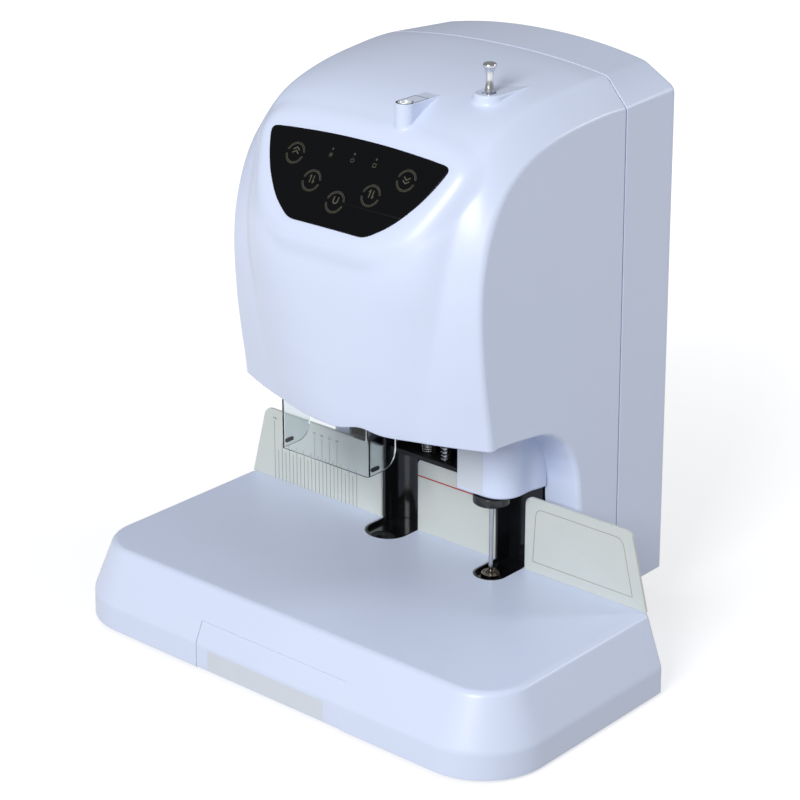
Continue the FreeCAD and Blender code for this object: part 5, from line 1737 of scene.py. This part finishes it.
def smooth_profile(pts, n=6):
    p = np.asarray(pts, float)
    q = np.concatenate([[2 * p[0] - p[1]], p, [2 * p[-1] - p[-2]]])
    out = []
    for i in range(1, len(q) - 2):
        for k in range(n):
            t = k / n
            out.append(tuple(0.5 * ((2 * q[i]) + (-q[i - 1] + q[i + 1]) * t + (2 * q[i - 1] - 5 * q[i] + 4 * q[i + 1] - q[i + 2]) * t * t
                                    + (-q[i - 1] + 3 * q[i] - 3 * q[i + 1] + q[i + 2]) * t ** 3)))
    out.append(tuple(p[-1]))
    return out


kp = [(0.0, 463.5), (3.5, 463.5), (3.85, 463.8)] + smooth_profile([(3.9, 464.3), (3.55, 466.6), (3.0, 469.2), (2.66, 471.8), (2.6, 474.2),
                                                              (2.8, 476.8), (3.3, 479.4), (4.1, 481.4), (4.9, 482.7), (5.25, 483.8), (5.15, 484.8),
                                                              (4.5, 485.6), (3.3, 486.02), (1.7, 486.17)]) + [(0.0, 486.2)]
lathe("pull_knob_turned", kp, KX, KY, "chrome", "pin_group", ["pull_knob"], n=96, angle=45)
IX, IY, IZ = INLET_AT[0], INLET_AT[1], 456.6
lathe("tube_inlet_ring", [(2.8, 420.0), (2.8, IZ - 3.0), (3.2, IZ - 2.4), (4.6, IZ + 0.25), (4.85, IZ + 0.5), (5.15, IZ + 0.6), (5.45, IZ + 0.5), (5.6, IZ + 0.2),
                          (5.6, IZ + 0.02), (5.0, IZ), (5.0, 420.0), (2.8, 420.0)], IX, IY, "bright", "base", ["tube_inlet_bush"], n=96)
# bare card round the inlet, with a plain dark border line and a dark ring round the eyelet
outer = d_loop(IX, IY, 7.2, 153.9, rc=0.5)
hole = [(IX + 5.75 * math.cos(a), IY + 5.75 * math.sin(a)) for a in np.linspace(0, 2 * math.pi, 65)[:-1]]
slab("blank_card_inlet", outer, IZ - 0.02, IZ + 0.10, XY, "white", "base", (), bevel=0.03, holes=[hole], slot="card_grey")


def round_loop(r, n=64):
    return [(IX + r * math.cos(a), IY + r * math.sin(a)) for a in np.linspace(0, 2 * math.pi, n + 1)[:-1]]


flat_shapes("inlet_border", [(d_loop(IX, IY, 7.15, 153.8, rc=0.5), [d_loop(IX, IY, 6.45, 153.1, rc=0.4)]), (round_loop(6.4), [round_loop(5.78)])],
            "ink_dark", z=IZ + 0.10, depth=0.03, to=XY, slot="card_grey")


# black sheet next to the frame's left plate, behind the hood's left return: painted shade that stands in for the dark
# inside of the tower
bm = block(-127.5, -101.5, 230.6, 231.8, 66.0, 194.0, 0.3)
from_bm("left_painted_shade_sheet", bm, "black_steel", "base", (), "black_steel", orient=True)


# ------------------------------------------------------------------ springs
def spring(sh, x, y, z0, z1, radius, wire, turns):
    n = int(turns * 40)
    k = 10
    rows = []
    pitch = (z1 - z0 - wire) / turns
    for i in range(n + 1):
        t = i / n * turns
        z = z0 + wire / 2 + pitch * t
        a = 2 * math.pi * t
        c = np.array([x + radius * math.cos(a), y + radius * math.sin(a), z])
        er = np.array([math.cos(a), math.sin(a), 0])
        rows.append([tuple(c + wire / 2 * (er * math.cos(b) + np.array([0, 0, 1]) * math.sin(b))) for b in np.linspace(0, 2 * math.pi, k + 1)[:-1]])
    sh.rows(rows, close=True)
    sh.ngon(rows[0], (0, -1, 0))
    sh.ngon(rows[-1], (0, 1, 0))


sh = Shell()
spring(sh, 4.5, 192.5, 148.1, 176.0, 5.6, 1.2, 14)
spring(sh, 27.6, 186.5, 148.1, 168.0, 3.8, 1.1, 6)
from_bm("buffer_springs_wire", sh.bm(0.0), "spring", "base", ["buffer_springs"], orient=True)

# ------------------------------------------------------------------ carried-over CAD pieces
done = set()
for o in bpy.context.scene.objects:
    done |= set(o.get("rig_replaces", []))
for name, obj in frame["nodes"].items():
    if name in done:
        continue
    mat = SLOT_MAT[NODE_SLOT[name]]
    if name in ("chip_chute", "tube_guide"):
        mat = "nylon"
    obj.data.materials.clear()
    obj.data.materials.append(MAT[mat])
    w = obj.modifiers.new("weld", "WELD")
    w.merge_threshold = 2e-6
    if name not in ("drive_belt",):
        b = obj.modifiers.new("edges", "BEVEL")
        b.width = 0.0003
        b.segments = 2
        b.limit_method = "ANGLE"
        b.angle_limit = math.radians(48)
        b.harden_normals = False

# ------------------------------------------------------------------ floor and light
sh = Shell()
g = 2600.0
back_wall = []
prof = [(-2600.0, -3.0), (1400.0, -3.0)]
floor_rows = [[(x, y, z) for x in np.linspace(-g, g, 9)] for y, z in [(-2600.0, -3.02), (2600.0, -3.02)]]
sh.rows(floor_rows)
bm = sh.bm(0)
me = bpy.data.meshes.new("floor")
bm.to_mesh(me)
bm.free()
floor = bpy.data.objects.new("floor", me)
SCENE.collection.objects.link(floor)
fmat, fb, fnt = material("floor_pale", srgb(180, 181, 184), rough=0.95, vary=0.003, mottle=3.0, rough_vary=0.02, bump=0.0, spec=0.05)
# the paper sweep gets brighter away from the machine
fn, fl = fnt.nodes, fnt.links
tc = fn.new("ShaderNodeTexCoord")
ln = fn.new("ShaderNodeVectorMath")
ln.operation = "LENGTH"
fl.new(tc.outputs["Object"], ln.inputs[0])
mr = fn.new("ShaderNodeMapRange")
mr.interpolation_type = "SMOOTHSTEP"
mr.inputs[1].default_value = 0.1
mr.inputs[2].default_value = 1.3
mr.inputs[3].default_value = 0.66
mr.inputs[4].default_value = 0.92
fl.new(ln.outputs["Value"], mr.inputs[0])
fb.inputs["Emission Color"].default_value = (1.0, 1.0, 1.0, 1.0)
fl.new(mr.outputs[0], fb.inputs["Emission Strength"])
floor.data.materials.append(fmat)
floor.visible_diffuse = False
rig.stage(floor)

world = bpy.data.worlds.new("studio")
SCENE.world = world
world.use_nodes = True
bg = world.node_tree.nodes["Background"]
bg.inputs[0].default_value = (0.97, 0.985, 1.0, 1.0)
bg.inputs[1].default_value = 0.31


def area(name, loc, target, size, power, colour=(1, 1, 1), size_y=None):
    la = bpy.data.lights.new(name, "AREA")
    la.shape = "RECTANGLE" if size_y else "SQUARE"
    la.size = size
    if size_y:
        la.size_y = size_y
    la.energy = power
    la.color = colour
    ob = bpy.data.objects.new(name, la)
    SCENE.collection.objects.link(ob)
    ob.location = loc
    ob.rotation_euler = (Vector(target) - Vector(loc)).to_track_quat("-Z", "Y").to_euler()
    return ob


def light_at(az, el, r, z=0.2):
    """Place a light az degrees to the left of the front, el degrees up, r metres off."""
    a, e = math.radians(az), math.radians(el)
    return (-r * math.sin(a) * math.cos(e), -r * math.cos(a) * math.cos(e), z + r * math.sin(e))


area("key", light_at(-15, 30, 3.4), (0, 0, 0.2), 1.3, 88.0)
area("rim", light_at(-138, 25, 3.0), (0, 0, 0.2), 0.6, 16.0)

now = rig.bounds()
with open("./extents.json", "w") as f:
    json.dump({"cad": [list(map(float, p)) for p in CAD_BOX], "visual": [list(map(float, p)) for p in now]}, f)
